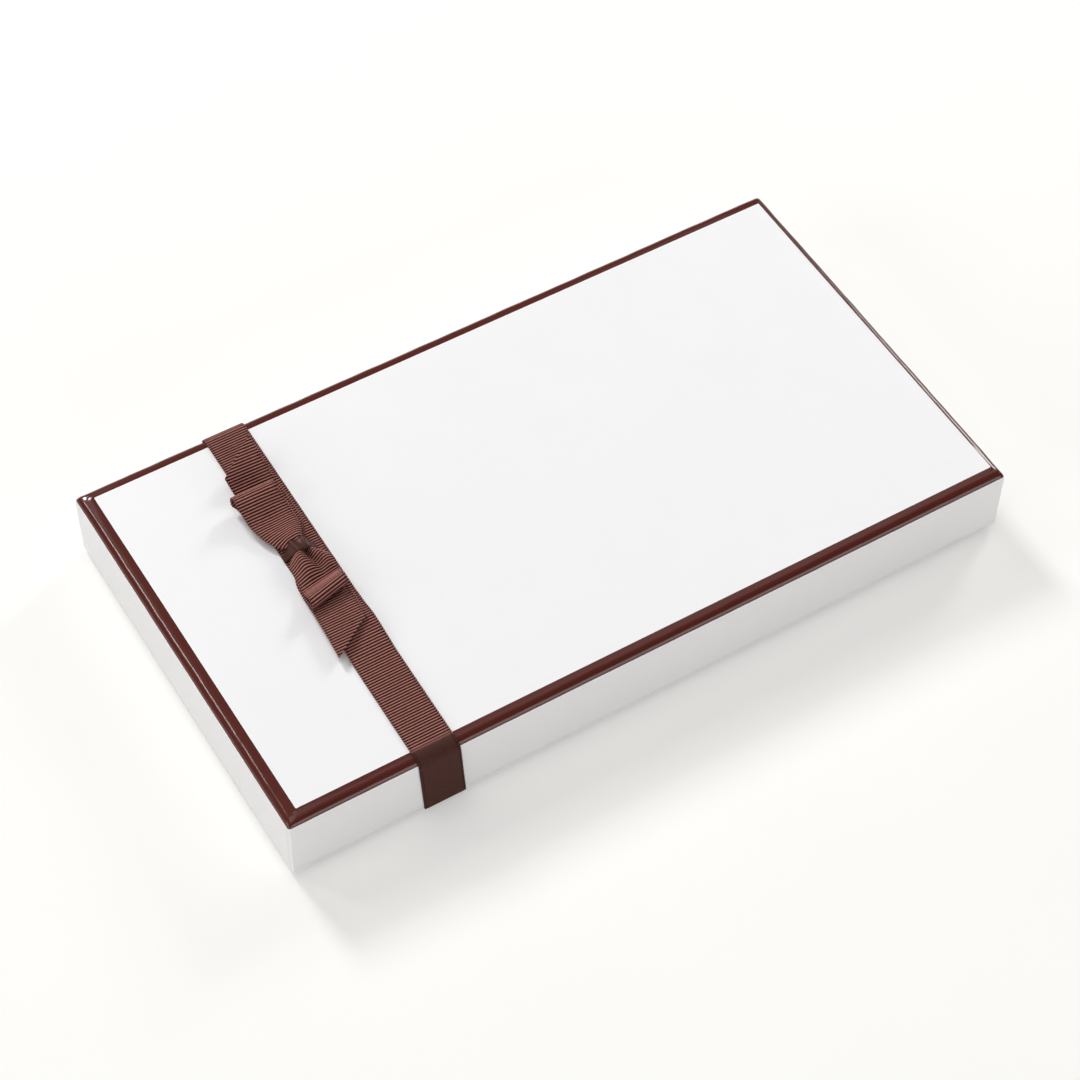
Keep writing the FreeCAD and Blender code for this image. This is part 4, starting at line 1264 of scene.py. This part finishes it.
        # Across the ribbon: place, height, half length along the ribbon.
        stations = (
            (-5.0, 0.3, 1.0),
            (-4.0, 1.0, 1.1),
            (-3.0, 2.2, 1.4),
            (-2.3, 3.5, 1.9),
            (-1.9, 4.2, 2.3),
            (-1.5, 4.3, 2.3),
            (-0.9, 4.05, 2.1),
            (0.0, 3.95, 2.0),
            (0.9, 4.05, 2.1),
            (1.45, 4.3, 2.25),
            (1.85, 4.2, 2.3),
            (2.3, 3.5, 1.9),
            (3.0, 2.2, 1.4),
            (4.0, 1.0, 1.1),
            (4.8, 0.3, 1.0),
        )
        shares = np.linspace(-1, 1, self.net_columns)
        net = np.zeros((len(stations), len(shares), 3))
        for row, (x, z, half) in enumerate(stations):
            net[row, :, 0] = x
            net[row, :, 1] = -shares * half
            net[row, :, 2] = z - self.knot_sag * shares**2 * eased(z / self.knot_height)
        strip = RibbonStrip("bow_knot_satin", self.weave, ribbed=False)
        across = strip.columns(self.knot_columns)[None, :]
        rows, along = even_rows(net, self.weave)
        piece = strip.build(across_rows(rows, across) + self.origin, along, across)
        dress(piece, SATIN.material())
        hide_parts("bow_knot_wrap")
        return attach(piece, Body.LID.value)

    def build(self) -> list[bpy.types.Object]:
        """Builds the whole bow.

        Returns:
            Its pieces.
        """
        tails = self.tails()
        knot = self.knot_wrap()
        return [tails, self.loops(knot), knot]


# Nodes that keep their solids


@dataclass
class Inside:
    """Boards, tape, linings, tray and chocolates: solids that only need their finish."""

    kinds: tuple[tuple[str, Couverture], ...] = (
        ("square", DARK_CHOCOLATE),
        ("dome", MILK_CHOCOLATE),
        ("heart", WHITE_CHOCOLATE),
        ("oval", MILK_CHOCOLATE),
        ("log", DARK_CHOCOLATE),
    )

    def dress(self) -> list[bpy.types.Object]:
        """Gives each solid its material.

        Returns:
            The dressed nodes.
        """
        finishes = {
            "lid_board": GREY_BOARD.material(),
            "lid_corner_stays": STAY_TAPE.material(),
            "lid_lining": LINING_PAPER.material(),
            "base_bottom_sheet": WHITE_PAPER.material(),
            "insert_tray": TRAY_FILM.material(),
        }
        for name in ("board", "corner_stays", "lining"):
            finishes["base_" + name] = finishes["lid_" + name]
        chocolates = (DARK_CHOCOLATE, MILK_CHOCOLATE, WHITE_CHOCOLATE)
        couvertures = {finish: finish.material() for finish in chocolates}
        for shape, kind in self.kinds:
            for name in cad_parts:
                if name.startswith(f"chocolate_{shape}_"):
                    finishes[name] = couvertures[kind]
        for name, material in finishes.items():
            dress(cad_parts[name], material)
        return [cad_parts[name] for name in finishes]


# Studio


@dataclass
class Softbox:
    """A rectangular studio light that faces the box, in metres and watts."""

    name: str
    place: tuple[float, float, float]
    width: float
    height: float
    power: float

    def build(self, target: Vector) -> bpy.types.Object:
        """Hangs the light and turns it to its target.

        Args:
            target: the point that it faces.

        Returns:
            The lamp.
        """
        light = bpy.data.lights.new(self.name, "AREA")
        light.shape = "RECTANGLE"
        light.size = self.width
        light.size_y = self.height
        light.energy = self.power
        lamp = bpy.data.objects.new(self.name, light)
        lamp.location = self.place
        lamp.rotation_euler = (target - lamp.location).to_track_quat("-Z", "Y").to_euler()
        bpy.context.scene.collection.objects.link(lamp)
        return lamp


@dataclass
class Studio:
    """Pale floor, soft light and the camera at the photograph's angle, in metres and degrees."""

    floor_half: float = 4.0
    floor_drop_mm: float = 0.1
    floor_colour: str = "#CECCC7"
    floor_cloud: str = "#CBC9C4"
    cloud_mm: float = 60.0
    white: str = "#FFFFFF"
    target: tuple[float, float, float] = (0.0, 0.0, 0.02)
    ambient: float = 0.06
    floor_glow: float = 0.39
    camera_place: tuple[float, float, float] = (-0.26554, -0.42440, 0.65696)
    azimuth: float = 31.99
    elevation: float = 52.75
    roll: float = 1.119
    image_size: int = 1080
    focal_pixels: float = 3001.3
    sensor_mm: float = 36.0

    def floor(self) -> bpy.types.Object:
        """Builds the floor, which shows white to the camera but keeps the box's shadow.

        Returns:
            The floor, set apart from the box.
        """
        far = self.floor_half / MM
        plan = ((-far, -far), (far, -far), (far, far), (-far, far))
        corners = np.array([[x, y, -self.floor_drop_mm] for x, y in plan])
        floor = mesh_object("studio_floor", corners, [[0, 1, 2, 3]])
        material, tree = new_material("matte_studio_paper")
        place = add_node(tree, "TexCoord").outputs["Object"]
        pattern = {"Vector": place, "Scale": per_metre(self.cloud_mm)}
        tones = {
            MIX_SHARE: add_node(tree, "TexNoise", pattern).outputs["Fac"],
            MIX_FIRST: linear(self.floor_colour),
            MIX_SECOND: linear(self.floor_cloud),
        }
        tint = add_node(tree, "Mix", tones, data_type="RGBA").outputs[MIX_RESULT]
        paper = add_node(tree, "BsdfDiffuse", {"Color": tint}).outputs["BSDF"]
        level = add_node(tree, "Math", {0: self.seen(tree), 1: self.floor_glow}, operation="MULTIPLY")
        glow = add_node(tree, "Emission", {"Strength": level.outputs["Value"]}).outputs["Emission"]
        both = add_node(tree, "AddShader", {0: paper, 1: glow}).outputs["Shader"]
        add_node(tree, "OutputMaterial", {"Surface": both})
        dress(floor, material)
        return floor

    @staticmethod
    def seen(tree: bpy.types.NodeTree) -> bpy.types.NodeSocket:
        """Tells rays that show a surface, from the camera, in a reflection or through a clear piece.

        Args:
            tree: the surface's node tree.

        Returns:
            A value that is 1 for such a ray and 0 for others.
        """
        rays = add_node(tree, "LightPath").outputs
        total = rays["Is Camera Ray"]
        for name in ("Is Glossy Ray", "Is Transmission Ray"):
            step = add_node(tree, "Math", {0: total, 1: rays[name]}, operation="ADD", use_clamp=True)
            total = step.outputs["Value"]
        return total

    def world(self) -> None:
        """Makes the surround white to the camera, and a plain even light on everything else.

        No piece is metal or glass, so reflections see the even light and the pale floor.
        """
        world = bpy.data.worlds.new("studio_surround")
        world.use_nodes = True
        tree = world.node_tree
        tree.nodes.clear()
        ray = add_node(tree, "LightPath").outputs["Is Camera Ray"]
        even, white = (
            add_node(tree, "Background", {"Color": linear(self.white), "Strength": strength})
            for strength in (self.ambient, 1.0)
        )
        choice = {0: ray, 1: even.outputs["Background"], 2: white.outputs["Background"]}
        chosen = add_node(tree, "MixShader", choice).outputs["Shader"]
        add_node(tree, "OutputWorld", {"Surface": chosen})
        bpy.context.scene.world = world

    def camera(self) -> bpy.types.Object:
        """Sets the camera where the photograph was taken from.

        Returns:
            The camera.
        """
        azimuth, elevation, roll = (math.radians(a) for a in (self.azimuth, self.elevation, self.roll))
        forward = Vector(
            (
                math.sin(azimuth) * math.cos(elevation),
                math.cos(azimuth) * math.cos(elevation),
                -math.sin(elevation),
            )
        )
        level_right = forward.cross(Vector((0, 0, 1))).normalized()
        level_up = level_right.cross(forward)
        right = level_right * math.cos(roll) + level_up * math.sin(roll)
        up = right.cross(forward)
        turned = Matrix((right, up, -forward)).transposed().to_4x4()
        data = bpy.data.cameras.new("photo_camera")
        data.sensor_width = self.sensor_mm
        data.lens = self.sensor_mm * self.focal_pixels / self.image_size
        camera = bpy.data.objects.new("photo_camera", data)
        camera.matrix_world = Matrix.Translation(self.camera_place) @ turned
        bpy.context.scene.collection.objects.link(camera)
        bpy.context.scene.camera = camera
        return camera

    def build(self) -> None:
        """Sets up the whole studio."""
        self.floor()
        self.world()
        self.camera()
        softboxes = (
            Softbox("key_back", (-0.25, 2.33, 1.84), 0.6, 0.7, 52.0),
            Softbox("top_back_right", (1.25, 0.90, 2.00), 1.3, 2.4, 6.0),
            Softbox("top_left", (-0.40, 0.00, 2.20), 1.4, 1.4, 8.0),
            Softbox("side_back_right", (1.20, 0.58, 0.72), 0.3, 0.5, 6.6),
            Softbox("strip_back_left", (-0.74, 0.86, 1.12), 0.12, 0.4, 2.6),
            Softbox("fill_left", (-1.85, -0.10, 0.60), 1.8, 1.1, 14.0),
            Softbox("fill_front", (0.00, -2.40, 0.55), 3.4, 1.0, 30.0),
        )
        for softbox in softboxes:
            softbox.build(Vector(self.target))
        bpy.context.scene.view_settings.view_transform = "Standard"


def main() -> None:
    """Builds every piece, in order."""
    logging.basicConfig(level=logging.INFO, format="%(message)s")
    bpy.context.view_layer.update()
    weave = Weave()
    lid = WrappedShell(
        "lid_wrap", Body.LID, Slot.PRINTED_PAPER, closed_up=True, panel=(4.25, 2.41, 3.83, 3.54), inked=True
    )
    base = WrappedShell("base_wrap", Body.BASE, Slot.PAPER, closed_up=False, panel=(4.0,) * 4, window=10.0)
    pieces = [lid.build(), base.build(), RibbonBand(weave).build()]
    pieces += Bow(weave).build()
    pieces += Inside().dress()
    for piece in pieces:
        LOG.info("%s: %d faces", piece.name, len(piece.data.polygons))
    Studio().build()


if __name__ == "__main__":
    main()
